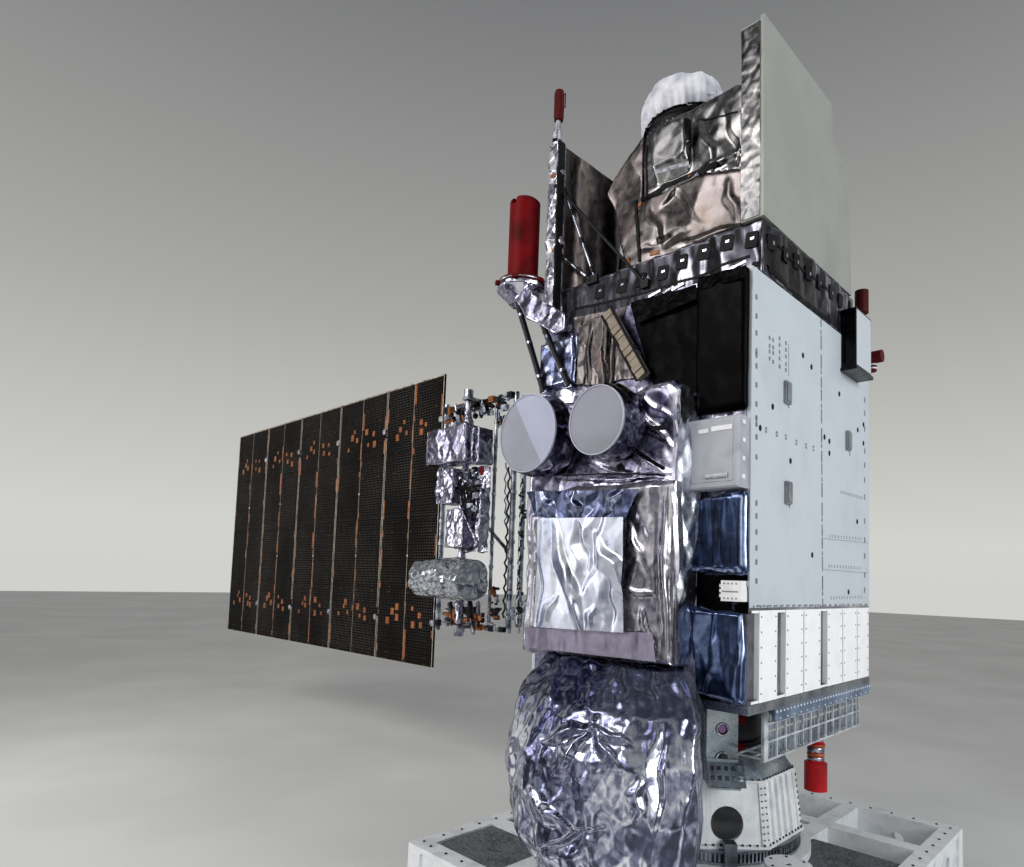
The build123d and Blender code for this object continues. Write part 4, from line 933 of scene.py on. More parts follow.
def face_marks():
    # fasteners, dots, covers and dashed seams of the large radiator face
    rad = "radiator_panel"
    metal = Batch("radiator_fasteners", "fastener_grey", "steel")
    dark = Batch("radiator_holes", "hole_painted_shade", "black_metal")
    edge = (297, 316, 333, 351, 355, 366, 385, 404, 418, 424, 437, 457, 503, 516, 532, 548, 562, 581)
    pads(metal, [(756.3, y) for y in edge], (0.026, 0.038, 0.003), rad, cut=0.005)
    columns = ((769.5, (338, 346, 351.5, 358.5)), (773, (340, 347.5, 353, 362)),
               (779.5, (338.5, 345, 352, 358.5, 366.5)), (785.8, (343, 350, 356.5, 364, 370)))
    pads(metal, [(x, y) for x, ys in columns for y in ys], (0.022, 0.03, 0.0025), rad, cut=0.004)
    strip(metal, [(788.6, 344), (788.6, 376)], 0.006, rad, lift=0.0)
    # dark dots: holes, given as raised pads whose dark is painted shade
    dots = ((802.8, 355.5), (811.3, 367), (772.5, 406.7), (839.2, 394), (790.3, 461), (760, 428),
            (824.3, 437),
            (829.2, 441.3), (829.2, 453.3), (863.3, 424.6), (857.6, 430), (863.3, 443.3), (857, 521.7),
            (812, 555), (848.4, 592))
    pads(dark, dots, (0.034, 0.044, 0.004), rad, cut=0.012)
    y, k = 323.0, 0
    while y < 608:
        pads(metal, [(820.9 + (y - 323) * 0.006, y)], (0.02, 0.034 if k % 3 else 0.07, 0.002), rad, cut=0.004)
        y += 5.2 if k % 4 else 9.0
        k += 1
    far = (400, 413, 429, 451, 465, 480, 497, 521, 540, 556, 575, 590)
    pads(metal, [(864.6, y) for y in far], (0.03, 0.05, 0.002), rad, cut=0.004)
    pairs = ((766, 430), (776.7, 434), (785.8, 437), (796.3, 442.5), (806, 446), (813.3, 448.3))
    pads(metal, [(x, y + dy) for x, y in pairs for dy in (-1.6, 1.6)], (0.03, 0.016, 0.002), rad)
    pads(metal, [(x, 606 - (x - 757) * 0.015) for x in range(758, 868, 6)], (0.05, 0.012, 0.002), rad)
    pads(metal, [(x, 609.5 - (x - 757) * 0.02) for x in range(766, 812, 7)], (0.03, 0.03, 0.003), rad,
         cut=0.008)
    for x0, y0, x1, y1 in ((830, 536, 861, 539), (829, 566, 860, 568), (831, 598, 861, 597),
                           (841, 492, 862, 498)):
        dashes = [(x0 + (x1 - x0) * (k / 11), y0 + (y1 - y0) * (k / 11) + dy) for k in range(12)
                  for dy in (-0.8, 0.8)]
        pads(metal, dashes, (0.014, 0.01, 0.002), rad)
    strip(metal, [(824, 538.5), (868, 543)], 0.004, rad, lift=0.0)
    strip(metal, [(824, 569.5), (868, 573)], 0.004, rad, lift=0.0)
    done(metal, dark)
    boxes = Batch("radiator_sensor_covers", "fastener_grey", "grey_paint")
    tails = Batch("radiator_sensor_tails", "black_metal", "black_metal")
    for x, y in ((786.3, 393), (847.3, 441), (787, 493)):
        pads(boxes, [(x, y)], (0.10, 0.17, 0.022), rad, cut=0.008)
        pads(boxes, [(x, y)], (0.07, 0.14, 0.030), rad, cut=0.008)
        strip(tails, [(x + 2.2, y + 8), (x + 2.4, y + 15)], 0.006, rad)
        strip(tails, [(x + 2.2, y - 8), (x + 2.2, y - 11)], 0.006, rad)
    done(boxes, tails)
    plates = Batch("heat_plate_fasteners", "fastener_grey", "steel")
    for y0, y1 in ((-1.05, -0.77), (-0.63, -0.32), (-0.30, 0.02), (0.16, 0.49), (0.51, 0.84), (0.86, 1.15)):
        for j in range(6):
            for y in (y0 + 0.03, y1 - 0.03):
                plates.disc((FACE_X, y, 2.03 + j * 0.105), X, 0.007, 0.004, 8)
    for k in range(22):
        plates.disc((1.03, -1.13 + 0.105 * k, 2.628), X, 0.008, 0.005, 8)
    plates.done()


def deck_marks(deck):
    black = Batch("deck_black_squares", "tape_black", "black_film")
    white = Batch("deck_white_dashes", "tape_silver", "foil")
    right = ((771.5, 242.5), (784.7, 255), (795.8, 261.7), (808, 273.3), (818.3, 282.5), (830.3, 292.5),
             (839.7, 301), (849.7, 308.3))
    pads(black, right, (0.09, 0.12, 0.006), deck, lift=0.004, cut=0.01)
    pads(white, [(x + 1, y + 1) for x, y in right], (0.02, 0.03, 0.003), deck, lift=0.011, cut=0.006)
    strip(black, [(766, 238), (800, 267), (830, 293), (853, 311)], 0.022, deck, lift=0.004)
    strip(black, [(765, 217), (800, 247), (835, 278), (871, 309)], 0.035, deck, lift=0.004)
    strip(black, [(752, 265), (790, 292), (830, 322), (862, 343)], 0.04, deck, "radiator_panel", lift=0.004)
    left = ((752, 240), (727, 243), (704, 252), (682, 262), (663, 273), (641, 280), (622, 286), (600, 292))
    pads(black, left, (0.1, 0.12, 0.006), deck, lift=0.004, cut=0.01, turn=-0.1)
    pads(white, [(x + 1, y - 1) for x, y in left], (0.03, 0.018, 0.003), deck, lift=0.011)
    strip(black, [(572, 284), (640, 262), (700, 240), (758, 219)], 0.03, deck, lift=0.004)
    strip(black, [(575, 309), (640, 294), (700, 276), (750, 256)], 0.02, deck, lift=0.004)
    pads(white, ((655, 294), (669, 290), (678, 287), (731, 269), (739, 265)), (0.11, 0.018, 0.004), deck,
         "front_panel", lift=0.006, turn=0.25)
    done(black, white)


def imager_marks(*on):
    black = Batch("imager_black_tapes", "tape_black", "black_film")
    strip(black, [(641, 200), (668, 185), (697, 173), (755, 170)], 0.04, *on, lift=0.009)
    strip(black, [(633, 150), (636, 200), (640, 262)], 0.028, *on, lift=0.009)
    strip(black, [(647, 145), (647, 196)], 0.018, *on, lift=0.004)
    strip(black, [(613, 176), (606, 205), (612, 262)], 0.016, *on, lift=0.004)
    strip(black, [(700, 120), (738, 112)], 0.012, *on, lift=0.004)
    orange = Batch("imager_orange_tabs", "tape_orange", "champagne_foil")
    for x, y, w, h in ((655, 253, 0.09, 0.03), (628, 262, 0.05, 0.07), (690, 176, 0.03, 0.02),
                       (640, 205, 0.03, 0.03)):
        pads(orange, [(x, y)], (w, h, 0.004), *on, lift=0.004)
    silver = Batch("imager_bright_tabs", "tape_silver", "foil")
    strip(silver, [(690, 176), (700, 172)], 0.05, *on, lift=0.006)
    strip(silver, [(655, 172), (688, 163)], 0.03, *on, lift=0.006)
    done(black, orange, silver)


def front_marks(bay, square, legs):
    black = Batch("front_black_tapes", "tape_black", "black_film")
    strip(black, [(619, 441), (664, 469)], 0.03, bay, lift=0.004)
    strip(black, [(563, 476), (600, 474), (664, 475)], 0.012, bay, lift=0.004)
    pads(black, [(658, 428)], (0.1, 0.035, 0.004), bay, lift=0.004)
    pads(black, [(666, 485)], (0.09, 0.03, 0.004), bay, lift=0.004)
    pads(black, [(621, 468)], (0.05, 0.07, 0.004), bay, lift=0.004, turn=0.5)
    strip(black, [(613, 318), (614, 384)], 0.022, legs, "front_panel", lift=0.006)
    strip(black, [(654, 372), (674, 392)], 0.025, "front_panel", lift=0.016)
    # the strip's edge foil is painted as if lit where it sits in shade
    edge = Batch("upright_strip_edge", "foil_painted_lit", "foil")
    strip(edge, [(675.5, 392), (674, 480), (675.5, 520), (676, 664)], 0.035, bay, square, lift=0.004,
          step=0.05)
    marks = Batch("upright_strip_marks", "wire_white", "foil")
    blue = Batch("upright_strip_ties", "blue_grey", "blue_grey")
    y, k = 388.0, 0
    while y < 664:
        size = (0.02, 0.025 + 0.04 * ((k * 7) % 3) / 2, 0.005)
        pads(marks if k % 3 else blue, [(677 + (k % 2), y)], size, bay, lift=0.004, cut=0.006)
        y += 5 + 2.5 * ((k * 5) % 4)
        k += 1
    done(black, edge, marks, blue)


def wall(name, pixels, steps, mat, slot, lift, salt, layers, node="front_panel"):
    # film held on the front wall, laid out on the node that shows at its pixels
    patch("front_wall_" + name, pixels, steps, mat, slot, node, lift, salt, layers, "front_panel")


def front_wall():
    wall("black_film", (630, 305, 697, 287, 696, 392, 655, 392), (60, 80), "film_black", "black_film", 0.022,
         91, [(0.3, 0.1, 0.4), (0.1, 0.08, 0.7)])
    wall("left_foil", (575, 318, 626, 306, 600, 392, 573, 392), (50, 70), "foil_champagne", "champagne_foil",
         0.012, 93,
         [(0.2, 0.25, 0.5), (0.07, 0.15, 1)])
    wall("middle_foil", (572, 386, 690, 388, 690, 430, 572, 430), (100, 40), "foil_silver", "foil", 0.010, 95,
         [(0.25, 0.3, 0.6), (0.08, 0.2, 1)])
    # the gutter foil is painted as if lit, though it sits in the shade of the bay and the pad
    wall("gutter_foil", (684, 486, 696, 486, 696, 700, 684, 694), (16, 190), "foil_painted_lit", "foil", 0.062, 97,
         [(0.3, 0.25, 0.3), (0.08, 0.15, 0.6)])
    # bright film over the bay's shaded side: its brightness is painted light
    film("bay_side_film",
         [(0.645, y, z) for y, z in ((-1.49, 4.16), (-1.245, 4.16), (-1.245, 2.22), (-1.49, 2.22))],
         (20, 150), "foil_bright_painted_lit", "foil", 96, [(0.3, 0.35, 0.3), (0.09, 0.3, 0.5)], "bay_foil")
    wall("box_foil", (686, 412, 746, 408, 748, 500, 686, 502), (50, 80), "foil_silver", "foil", 0.010, 99,
         [(0.2, 0.3, 0.6), (0.07, 0.2, 1)])
    wall("gather", (630, 302, 697, 285, 697, 299, 636, 324), (70, 24), "film_black", "black_film", 0.062, 92,
         [(0.16, 0.2, 1), (0.06, 0.2, 1)])
    wall("gather_right", (698, 277, 747, 265, 747, 277, 698, 290), (50, 16), "film_black", "black_film",
         0.016, 94, [(0.16, 0.3, 1), (0.06, 0.25, 1)], "front_blanket_top")
    wall("dark_film", (686, 575, 748, 575, 748, 614, 686, 614), (50, 40), "film_black", "black_film", 0.012,
         98, [(0.15, 0.3, 1), (0.06, 0.2, 1)])


def far_sides():
    # the two walls away from the dishes: foil, taped seams, rows of fasteners
    rear = foil("rear_panel_foil", "rear_panel", "foil_silver", "foil", 0.022, 101,
                [(0.7, 0.14, 0.7), (0.22, 0.12, 0.8), (0.08, 0.06, 1)])
    lo, hi = corners_of("rear_panel")
    tapes = Batch("rear_panel_tapes", "tape_black", "black_film")
    runs = [((x, lo.z + 0.05), (x, hi.z - 0.05)) for x in (lo.x + 0.66, lo.x + 1.33)]
    runs += [((lo.x + 0.05, z), (hi.x - 0.05, z)) for z in (lo.z + 0.9, lo.z + 1.9)]
    for (xa, za), (xb, zb) in runs:
        n = int(hypot(xb - xa, zb - za) / 0.03)
        dx, dz = (0.018, 0) if xa == xb else (0, 0.018)
        rows = []
        for k in range(n + 1):
            x, z = xa + (xb - xa) * k / n, za + (zb - za) * k / n
            hits = [cast([rear], Vector((x + s * dx, hi.y + 0.3, z + s * dz)), Vector((0, -1, 0)))
                    for s in (-1, 1)]
            if all(hits):
                rows.append([h[0] + Vector((0, d, 0)) for h in hits for d in (0.004, -0.003)])
        tapes.put([v for row in rows for v in row],
                  [(4 * k + i, 4 * k + j, 4 * k + 4 + j, 4 * k + 4 + i) for k in range(len(rows) - 1)
                   for i, j in ((0, 1), (1, 3), (3, 2), (2, 0))])
    tapes.done()
    lo, hi = corners_of("far_side_panel")
    dots = Batch("far_side_fasteners", "fastener_grey", "steel")
    # holes: raised discs whose dark is painted shade
    holes = Batch("far_side_holes", "hole_painted_shade", "black_metal")
    for z in (lo.z + 0.05, lo.z + 1.0, lo.z + 2.0, hi.z - 0.05):
        y = lo.y + 0.06
        while y < hi.y - 0.04:
            if hypot(y, z - DRIVE_Z) > 0.3:
                dots.disc((lo.x, y, z), (-1, 0, 0), 0.009, 0.004, 8)
            y += 0.08
    for y in (lo.y + 0.05, (lo.y + hi.y) / 2, hi.y - 0.05):
        z = lo.z + 0.1
        while z < hi.z - 0.06:
            if hypot(y, z - DRIVE_Z) > 0.3:
                dots.disc((lo.x, y, z), (-1, 0, 0), 0.009, 0.004, 8)
                if int(z * 100) % 7 == 0:
                    holes.disc((lo.x, y + 0.05, z), (-1, 0, 0), 0.014, 0.003, 10)
            z += 0.09
    done(dots, holes)


def box_details():
    lo, hi = corners_of("white_box")
    white = Batch("white_box_details", "bright_white", "white_paint")
    grey = Batch("white_box_latches", "machined", "alu")
    y = lo.y
    white.box((lo.x + 0.10, y - 0.006, hi.z - 0.105), (lo.x + 0.18, y, hi.z - 0.075))
    white.box((lo.x + 0.20, y - 0.006, hi.z - 0.10), (lo.x + 0.36, y, hi.z - 0.065))
    grey.box((lo.x + 0.15, y - 0.016, lo.z + 0.07), (lo.x + 0.33, y, lo.z + 0.095), cut=0.005)
    grey.box((lo.x + 0.16, y - 0.024, lo.z + 0.076), (lo.x + 0.32, y - 0.012, lo.z + 0.088), cut=0.003)
    for k in range(4):
        z = lo.z + 0.06 + k * 0.125
        for x in (hi.x - 0.02, lo.x + 0.02):
            grey.disc((x, y + 0.02, z), (0, -1, 0), 0.008, 0.006, 8)
        white.box((hi.x, y + 0.05, z), (hi.x + 0.006, y + 0.09, z + 0.03))
    done(white, grey)
    lo, hi = corners_of("connector_box")
    dark = Batch("connector_box_details", "fastener_grey", "steel")
    dark.box((lo.x + 0.03, lo.y - 0.004, lo.z + 0.062), (hi.x - 0.02, lo.y, lo.z + 0.07))
    for k in range(4):
        for z in (hi.z - 0.02, lo.z + 0.02):
            dark.disc((lo.x + 0.045 + 0.03 * k, lo.y, z), (0, -1, 0), 0.006, 0.005, 8)
    dark.done()


def panel_tapes(orange, pick, xa, xb, mid, z0, z1):
    # tape runs beside the middle and the edges, then squares round the two tie points
    back, front = -0.0165, -0.0195
    z = z0 + 0.05
    while z < z1 - 0.3:
        h = pick.choice((0.08, 0.16, 0.26, 0.4))
        w = pick.choice((0.018, 0.03, 0.05))
        s = pick.choice((-1, 1))
        h = min(h, z1 - 0.03 - z)
        if pick.random() < 0.8:
            orange.box((mid + s * 0.006, front, z), (mid + s * (0.006 + w), back, z + h))
        z += h + pick.uniform(0.03, 0.25)
    for x, s in ((xa, -1), (xb, 1)):
        z = z0 + 0.1
        while z < z1 - 0.3:
            h = pick.choice((0.1, 0.2, 0.28))
            if pick.random() < 0.45:
                orange.box((x + s * 0.014, front, z), (x + s * (0.014 + 0.03), back, min(z + h, z1 - 0.03)))
            z += h + pick.uniform(0.1, 0.4)
    for zc in (z0 + 0.63, z1 - 0.68):
        for dx, dz in ((0.16, 0.1), (0.2, -0.08), (0.33, 0.05), (0.37, -0.1), (-0.16, 0.0), (-0.22, 0.14),
                       (-0.3, 0.06), (-0.42, -0.08)):
            x = mid + dx + pick.uniform(-0.03, 0.03)
            z = zc + dz + pick.uniform(-0.03, 0.03)
            w = pick.choice((0.05, 0.065, 0.08))
            orange.box((x - w / 2, -0.0198, z - w * 0.6), (x + w / 2, back, z + w * 0.6))


def wing_details():
    pick = random.Random(11)
    z0, z1, face, rows = PANEL_LOW, PANEL_HIGH, PANEL_FACE, 50
    for k in range(PANELS):
        name = "panel_%d_" % (k + 1)
        body = name + "body"
        xa = PANEL_X - k * PANEL_STEP
        xb = xa - PANEL_WIDE
        mid = (xa + xb) / 2
        cells = Batch(name + "cells", "cells", "cells", body)
        for j in range(rows):
            a = z0 + 0.03 + (z1 - z0 - 0.06) * j / rows
            b = a + (z1 - z0 - 0.06) / rows - 0.006
            if j in (12, 24, 37):
                b -= 0.012
            for x0, x1 in ((xb + 0.03, mid - 0.012), (mid + 0.012, xa - 0.03)):
                cells.box((x0, -0.0172, a), (x1, face, b))
        edge = Batch(name + "edges", "panel_edge", "alu", body)
        for x, s in ((xa, -1), (xb, 1)):
            edge.box((x + s * 0.001, -0.0185, z0), (x + s * 0.013, face, z1))
        edge.box((xb, -0.019, z1 - 0.02), (xa, face, z1))
        edge.box((mid - 0.003, -0.018, z0 + 0.02), (mid + 0.003, face, z1 - 0.02))
        orange = Batch(name + "orange_tapes", "tape_orange", "cells", body)
        panel_tapes(orange, pick, xa, xb, mid, z0, z1)
        cups = Batch(name + "cups", "tape_silver", "alu", body)
        for zc in (z0 + 0.58, z1 - 0.62):
            x = xa - 0.048
            cups.tube([(x, -0.0165, zc), (x, -0.022, zc), (x, -0.0235, zc)], [0.045, 0.042, 0.03], 16)
            z = zc + 0.9 * (1 if zc < 3 else -1)
            cups.tube([(mid, -0.0165, z), (mid, -0.022, z)], [0.02, 0.016], 10)
        done(cells, edge, orange, cups)


def adapter_details():
    steel = Batch("adapter_bolts", "black_metal", "steel")
    for k in range(8):
        turn = Matrix.Rotation(radians(45 * k), 3, "Z")
        for z, a, r in ((0.75, 0.768, 0.009), (1.23, 0.7, 0.007)):
            half = a * 0.4142
            for i in range(11):
                u = -half + 2 * half * (i + 0.5) / 11
                steel.disc(turn @ Vector((a, u, z)), Z, r, 0.014, 8)
        p, q = Vector((0.756, 0.3086, 0.77)), Vector((0.712, 0.2858, 1.2))
        for j in range(9):
            c = p.lerp(q, (j + 0.5) / 9)
            for u in (-0.02, 0.02):
                steel.disc(turn @ (c + Vector((-0.38, 0.92, 0)) * u), turn @ Vector((1, 0.41, 0.1)), 0.006,
                           0.008, 8)
    steel.done()
    ring = Batch("adapter_ring_flutes", "machined", "steel")
    for t in turns(150):
        if not any(abs((t - pi / 4 - n * pi / 2 + pi) % (2 * pi) - pi) < 0.075 for n in range(4)):
            out, side = Vector((cos(t), sin(t), 0)), Vector((-sin(t), cos(t), 0))
            ring.box((0.76, -0.006, 0.642), (0.806, 0.006, 0.708), (out, side, Z))
    ring.done()


def dolly_details():
    x, y = JACK
    # the dark centre and six dark spots of the jack cover stand for holes: painted shade
    lid = Batch("jack_cover_details", "hole_painted_shade", "black_metal")
    lid.tube([(x, y, 0.791), (x, y, 0.797)], 0.021, 6)
    for k in range(6):
        t = pi / 3 * k
        lid.disc((x + 0.13 * cos(t), y + 0.13 * sin(t), 0.804), Z, 0.01, 0.006, 8)
    lid.done()
    tread = Batch("tread_ribs", "tread_grey", "alu")
    for x0, x1 in ((-1.44, -0.70), (0.70, 1.44)):
        for y0, y1 in ((-1.84, -1.21), (-1.05, 0.70)):
            tread.box((x0 + 0.006, y0 + 0.006, 0.533), (x1 - 0.006, y1 - 0.006, 0.537))
            count = int((y1 - y0) / 0.03)
            for i in range(count):
                y = y0 + 0.02 + (y1 - y0 - 0.04) * (i + 0.5) / count
                tread.box((x0 + 0.02, y - 0.006, 0.536), (x1 - 0.02, y + 0.006, 0.542))
    tread.done()
    beams = Batch("dolly_bolts", "black_metal", "steel")
    spots = [(x, -1.9 + 0.2 * k) for k in range(20) for x in (-1.52, 1.52)]
    spots += [(-1.4 + 0.2 * k, y) for k in range(15) for y in (-1.92, 1.92)]
    for x, y in spots:
        beams.disc((x, y, 0.55), Z, 0.012, 0.008, 8)
    beams.done()


def post_details():
    # bolts of the aft beam, then the rings, bolts and lenses of the two hold-down posts
    bolts = Batch("aft_beam_bolts", "wire_white", "steel")
    for k in range(34):
        y = -0.77 + 1.94 * k / 33
        bolts.disc((FACE_X, y, 1.88), X, 0.009, 0.006, 8)
        bolts.disc((1.02, y, 1.895), Z, 0.008, 0.012, 8)
        if k % 2:
            bolts.disc((FACE_X, y, 1.83), X, 0.007, 0.005, 8)
    bolts.done()
    post = Batch("post_rings", "machined", "steel")
    lens = Batch("post_lenses", "purple_lens", "black_metal")
    amber = Batch("post_amber_bits", "tape_orange", "alu")
    for sign in (1, -1):
        turn = Matrix.Rotation(radians(40 * sign), 3, "Z")
        n, side = turn @ Vector((0, -1, 0)), turn @ X
        for z in (1.43, 1.65):
            c = turn @ Vector((0, -0.835, z))
            post.tube([c + (side * cos(t) + Z * sin(t)) * 0.046 for t in turns(24)], 0.009, 8, closed=True)
            for k in range(6):
                t = pi / 3 * k + 0.3
                post.disc(c + (side * cos(t) + Z * sin(t)) * 0.075 + n * -0.005, n, 0.006, 0.008, 8)
        lens.disc(turn @ Vector((0, -0.80, 1.65)), n, 0.037, 0.02, 20)
        amber.box((-0.02, -0.012, -0.03), (0.02, 0.012, 0.03), (side, turn @ Y, Z),
                  turn @ Vector((-0.07, -0.845, 1.33)))
        for j in range(9):
            for u in (-0.108, 0.108):
                post.disc(turn @ Vector((u, -0.829, 1.28 + 0.065 * j)), n, 0.005, 0.006, 8)
    done(post, lens, amber)


def tower_details(mast):
    x, y = TOWER
    edge = x + 0.062
    rods = Batch("tower_struts", "tube_silver", "foil")
    black = Batch("tower_strut_joints", "black_metal", "black_metal")
    r = 0.015
    for za, b in ((6.4, (-0.56, -1.047, 5.466)), (5.74, (-0.6, -1.047, 5.44))):
        a, b = Vector((edge, y + 0.03, za)), Vector(b)
        rods.tube([a, b], r, 12)
        d = (b - a).normalized()
        for t in (0.06, 0.3, 0.62, 0.94):
            c = a.lerp(b, t)
            black.tube([c - d * 0.03, c + d * 0.03], r * 1.45, 12)
    black.tube([(edge, y, 6.35), (0, -1.048, 5.23)], 0.014, 12)
    black.box((-0.64, -1.058, 5.4), (-0.52, -1.03, 5.475))
    black.box((-0.035, -1.064, 5.19), (0.035, -1.03, 5.26))
    for k in range(14):
        z = 5.04 + 0.126 * k
        black.box((x + 0.064, y - 0.066 - 0.006 * (k % 3), z), (x + 0.086, y + 0.02, z + 0.122), cut=0.006)
    for x0, x1 in ((-1.31, -0.9), (-1.14, -0.6)):
        a, b = Vector((x0, -1.285, 5.39)), Vector((x1, -1.285, 4.416))
        black.tube([a, b], 0.028, 12)
        rods.tube([p + Vector((-0.012, -0.024, 0)) for p in (a, b)], 0.006, 6)
        for t in (0.2, 0.5, 0.85):
            c = a.lerp(b, t)
            rods.tube([c - (b - a) * 0.012, c + (b - a) * 0.012], 0.031, 12)
    tapes = Batch("tower_tapes", "tape_black", "black_film")
    spots = ((560, 168), (556, 186), (561, 205), (557, 226), (562, 246), (558, 266), (555, 140))
    pads(tapes, spots, (0.04, 0.03, 0.004), mast, lift=0.003)
    strip(tapes, [(565, 150), (565, 280)], 0.018, mast, lift=0.004)
    orange = Batch("tower_orange_tabs", "tape_orange", "foil")
    pads(orange, ((553, 176), (559, 216), (554, 250)), (0.05, 0.03, 0.004), mast, lift=0.003)
    done(rods, black, tapes, orange)


def top_details():
    ring = Batch("aperture_ring_bolts", "machined", "steel")
    x, y = APERTURE
    for t in turns(40):
        ring.disc((x + 0.33 * cos(t), y + 0.33 * sin(t), 6.79), (cos(t), sin(t), 0), 0.007, 0.008, 8)
    flange = Batch("can_flange_bolts", "machined", "steel")
    x, y = CAN
    for t in turns(18):
        flange.disc((x + 0.19 * cos(t), y + 0.19 * sin(t), 5.56), Z, 0.009, 0.01, 8)
    flange.tube([(x + 0.226 * cos(t), y + 0.226 * sin(t), 5.535) for t in turns(48)], 0.008, 8, closed=True)
    # plate in the radiator's material, whose pale grey is a painted reflection
    face = Batch("corner_box_face", "radiator_painted_reflection", "radiator")
    face.box((1.156, 0.49, 4.72), (1.160, 0.85, 5.215))
    bands = Batch("rear_antenna_bands", "wire_white", "white_paint")
    for z in (4.845, 4.88):
        bands.tube([(1.094, 1.11, z), (1.094, 1.11, z + 0.014)], 0.036, 20)
    done(ring, flange, face, bands)


def frame_details():
    clips = Batch("frame_clamps", "machined", "alu", "frame")
    dark = Batch("frame_dark_fittings", "black_metal", "black_metal", "frame")
    gold = Batch("frame_amber_fittings", "tape_orange", "alu", "frame")
    pick = random.Random(5)
    for x, r in ((-2.64, 0.043), (-2.99, 0.03), (-4.015, 0.043)):
        for z in [2.3 + 0.3 * k for k in range(9)]:
            clips.tube([(x, 0, z - 0.02), (x, 0, z + 0.02)], r, 14)
    for z in (2.16, 4.98):
        for k in range(16):
            x = -2.7 - 1.25 * k / 15
            s = pick.uniform(0.02, 0.05)
            which = pick.choice((clips, dark, dark, gold))
            which.box((x - s, -0.035 - s, z - s * 0.8), (x + s, -0.02, z + s * 0.8), cut=s * 0.2)
            which.disc((x, -0.03 - s, z), (0, -1, 0), s * 0.5, 0.015, 10)
    fan = Batch("pleated_fan", "tape_black", "black_film", "gimbal")
    for k in range(14):
        t = k / 13
        p = Vector((-3.28 + 0.46 * t, -0.335, 3.98 - 0.2 * t))
        q = Vector((-3.15 + 0.34 * t, -0.335 - (0.012 if k % 2 else 0), 3.57 + 0.02 * t))
        fan.tube([p, q], 0.009, 6)
    red = Batch("red_tag_plate", "red_paint", "red_cover", "gimbal")
    red.box((-2.79, -0.40, 3.96), (-2.74, -0.385, 4.06))
    done(clips, dark, gold, fan, red)


def lattice_details():
    ties = Batch("lattice_green_ties", "green_paint", "alu")
    for y in (-0.2, 0.35, 0.9):
        ties.box((0.93, y - 0.02, 1.76), (0.945, y + 0.02, 1.82))
    silver = Batch("capped_cylinder_bands", "tube_silver", "steel")
    amber = Batch("capped_cylinder_amber", "tape_orange", "red_cover")
    x, y = CYLINDER
    for a, b, r, which in ((1.285, 1.315, 0.0715, silver), (1.322, 1.345, 0.0735, amber),
                           (1.352, 1.395, 0.0715, silver),
                           (1.402, 1.42, 0.079, amber), (1.445, 1.49, 0.0635, silver)):
        which.tube([(x, y, z) for z in (a, a + 0.004, b - 0.004, b)], [r - 0.003, r, r, r - 0.003], 32)
    plates = Batch("lattice_plates", "film_grey_plate", "alu")
    lo, hi = corners_of("lattice_skirt")
    wide, middle = (hi.y - lo.y) / 12, (lo.z + hi.z) / 2
    for k in range(12):
        y = lo.y + wide * k
        for za, zb in ((lo.z + 0.02, middle - 0.01), (middle + 0.01, hi.z - 0.02)):
            plates.box((hi.x - 0.030, y + 0.012, za), (hi.x - 0.024, y + wide - 0.012, zb), cut=0.002)
    done(ties, silver, amber, plates)


def clutter(name, body, spots, seed):
    # small brackets, connectors, plugs and clamps gathered round given places: centre, reach, count, size
    pick = random.Random(seed)
    kinds = [Batch(name + "_dark", "black_metal", "black_metal", body),
             Batch(name + "_silver", "tube_silver", "alu", body),
             Batch(name + "_amber", "tape_orange", "alu", body)]
    for centre, reach, count, size in spots:
        for _ in range(count):
            c = Vector([centre[i] + pick.uniform(-1, 1) * reach[i] for i in range(3)])
            kind = kinds[pick.choice((0, 0, 0, 1, 1, 1, 2))]
            w = size * pick.uniform(0.5, 1.2)
            turn = Matrix.Rotation(pick.choice((0, 0, 0.4, 1.2, pi / 2)), 3, "Y")
            turn = turn @ Matrix.Rotation(pick.uniform(-0.3, 0.3), 3, "X")
            axes = [turn @ v for v in (X, Y, Z)]
            form = pick.random()
            if form < 0.35:
                kind.box((-w, -w * 0.5, -w * 0.6), (w, w * 0.5, w * 0.6), axes, c, w * 0.15)
            elif form < 0.75:
                a, b = c - axes[0] * w * 1.6, c + axes[0] * w * 1.6
                thin, thick = w * 0.35, w * 0.5
                kind.tube([a, a.lerp(b, 0.12), a.lerp(b, 0.14), a.lerp(b, 0.86), a.lerp(b, 0.88), b],
                          [thin, thin, thick, thick, thin, thin], 12)
            else:
                kind.disc(c, axes[1] * -1, w * 0.6, w * 0.5, 12)
                kind.disc(c - axes[1] * w * 0.3, axes[1] * -1, w * 0.3, w * 0.5, 8)
    done(*kinds)


def harness(name, mat, slot, body, path, r, wave, waves):
    # wire bundle tied along a tube, with so many waves to each straight of its path
    points = [Vector(p) for p in path]
    out = []
    for a, c in zip(points, points[1:]):
        n = max(2, int((c - a).length / 0.05))
        side = (c - a).normalized().cross(Y).normalized()
        for i in range(n):
            t = i / n
            phase = waves * t * 2 * pi
            out.append(a.lerp(c, t) + side * wave * sin(phase) + Vector((0, wave * 0.5 * cos(phase), 0)))
    bundle = Batch(name, mat, slot, body)
    bundle.tube(out + [points[-1]], r, 8)
    bundle.done()


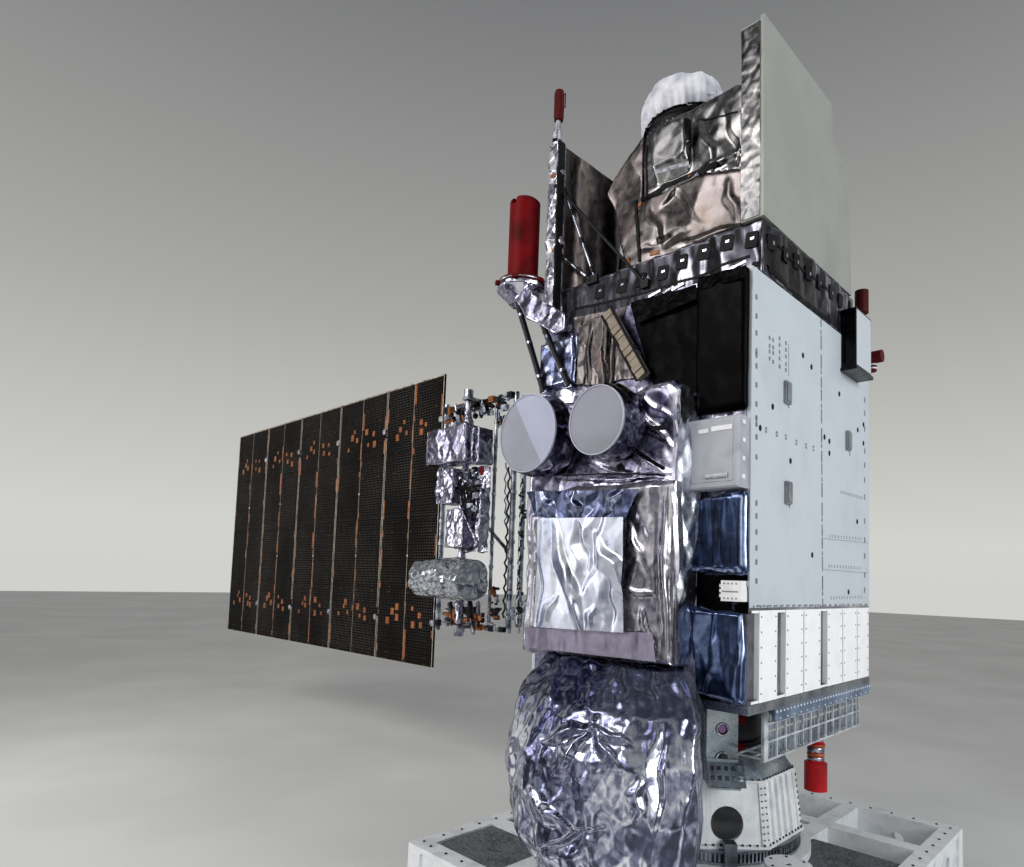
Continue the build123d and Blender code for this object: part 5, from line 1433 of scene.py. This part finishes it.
def wing_clutter():
    clutter("frame_top_fittings", "frame", [((-3.3, -0.06, 4.9), (0.6, 0.05, 0.1), 46, 0.055),
                                            ((-2.82, -0.05, 4.8), (0.06, 0.04, 0.2), 12, 0.04)], 21)
    clutter("frame_bottom_fittings", "frame", [((-3.36, -0.06, 2.28), (0.5, 0.05, 0.13), 54, 0.055),
                                               ((-2.82, -0.05, 2.45), (0.06, 0.04, 0.2), 12, 0.04)], 22)
    clutter("gimbal_fittings", "gimbal", [((-2.86, -0.40, 3.62), (0.1, 0.03, 0.3), 18, 0.045),
                                          ((-3.2, -0.33, 4.02), (0.25, 0.04, 0.05), 12, 0.04)], 24)
    spots = [((-2.42, -0.05, z), (0.02, 0.02, 0.14), 6, 0.03) for z in (2.3, 2.7, 3.2, 3.6, 4.1, 4.5)]
    clutter("boom_fittings", "boom", spots + [((-1.4, -0.09, DRIVE_Z), (0.1, 0.03, 0.12), 12, 0.05)], 25)
    black = ("black_metal", "black_metal")
    harness("boom_harness", *black, "boom", [(-1.4, -0.06, 3.62), (-2.0, -0.06, 4.15), (-2.45, -0.05, 4.6)],
            0.014, 0.02, 5)
    harness("boom_harness_low", *black, "boom",
            [(-2.45, -0.05, 4.6), (-2.44, -0.05, 3.6), (-2.44, -0.05, 2.35)],
            0.013, 0.016, 9)
    harness("boom_harness_white", "wire_white", "white_paint", "boom",
            [(-2.44, -0.055, 4.7), (-2.44, -0.055, 3.4), (-2.44, -0.055, 2.25)], 0.008, 0.014, 11)
    harness("frame_harness", *black, "frame",
            [(-2.67, -0.05, 4.85), (-2.67, -0.05, 3.5), (-2.67, -0.05, 2.3)],
            0.012, 0.02, 8)
    harness("frame_harness_blue", "wire_blue", "blue_grey", "frame",
            [(-2.70, -0.05, 4.6), (-2.72, -0.06, 3.9), (-2.7, -0.05, 3.4)], 0.008, 0.02, 4)


def add_stage():
    p = Paint("floor_pale", Roughness=0.45)
    p.finish(p.ramp(p.noise(p.where(), 0.25), [(0.4, "dcdcda"), (0.6, "e8e8e6")]))
    bpy.ops.mesh.primitive_plane_add(size=160, location=(0, 0, 0))
    ground = bpy.context.object
    ground.name = "floor"
    ground.data.materials.append(p.mat)
    world = bpy.data.worlds.new("world")
    bpy.context.scene.world = world
    world.use_nodes = True
    nodes, links = world.node_tree.nodes, world.node_tree.links
    back = nodes["Background"]
    coord, split, ramp = [nodes.new("ShaderNode" + kind) for kind in ("TexCoord", "SeparateXYZ", "ValToRGB")]
    links.new(coord.outputs["Generated"], split.inputs[0])
    links.new(split.outputs[2], ramp.inputs[0])
    links.new(ramp.outputs[0], back.inputs[0])
    points = ramp.color_ramp.elements
    for i, (at, colour) in enumerate([(0.0, "d0d0ce"), (0.06, "d2d2ce"), (0.35, "a9a9a6"), (0.75, "6c6d70"),
                                      (1.0, "8a8b8f")]):
        point = points[i] if i < 2 else points.new(at)
        point.position = at
        point.color = tone(colour)
    back.inputs[1].default_value = 1.0
    add_light("key", (-3, -13, 11), (-2, 0, 3.5), (8, 5), 900, (1.0, 0.98, 0.96))
    add_light("side", (13, -2, 7), (0, 0, 4), (7, 6), 980, (0.93, 0.97, 1.0))
    add_light("strip", (-9, -9, 5), (-2, 0, 3), (2, 6), 260, (1, 1, 1))


bpy.context.scene.view_settings.view_transform = "Standard"
add_camera()
foil_materials()
paint_materials()
panel_back_material()
cell_material()
clear_material()
split_material()
add_stage()
paint_nodes()
BAY = bay_foils()
SQUARE = square_foils()
bag_foils()
blanket_foils()
LEGS = leg_foils()
DECK, BASE, BODY, MAST = top_foils()
wing_foils()
fabric_bonnet()
bag_skin()
upper_wraps()
dish_details()
front_wall()
far_sides()
face_marks()
deck_marks(DECK)
imager_marks(BASE, BODY)
front_marks(BAY, SQUARE, LEGS)
box_details()
wing_details()
adapter_details()
dolly_details()
post_details()
tower_details(MAST)
top_details()
frame_details()
lattice_details()
wing_clutter()
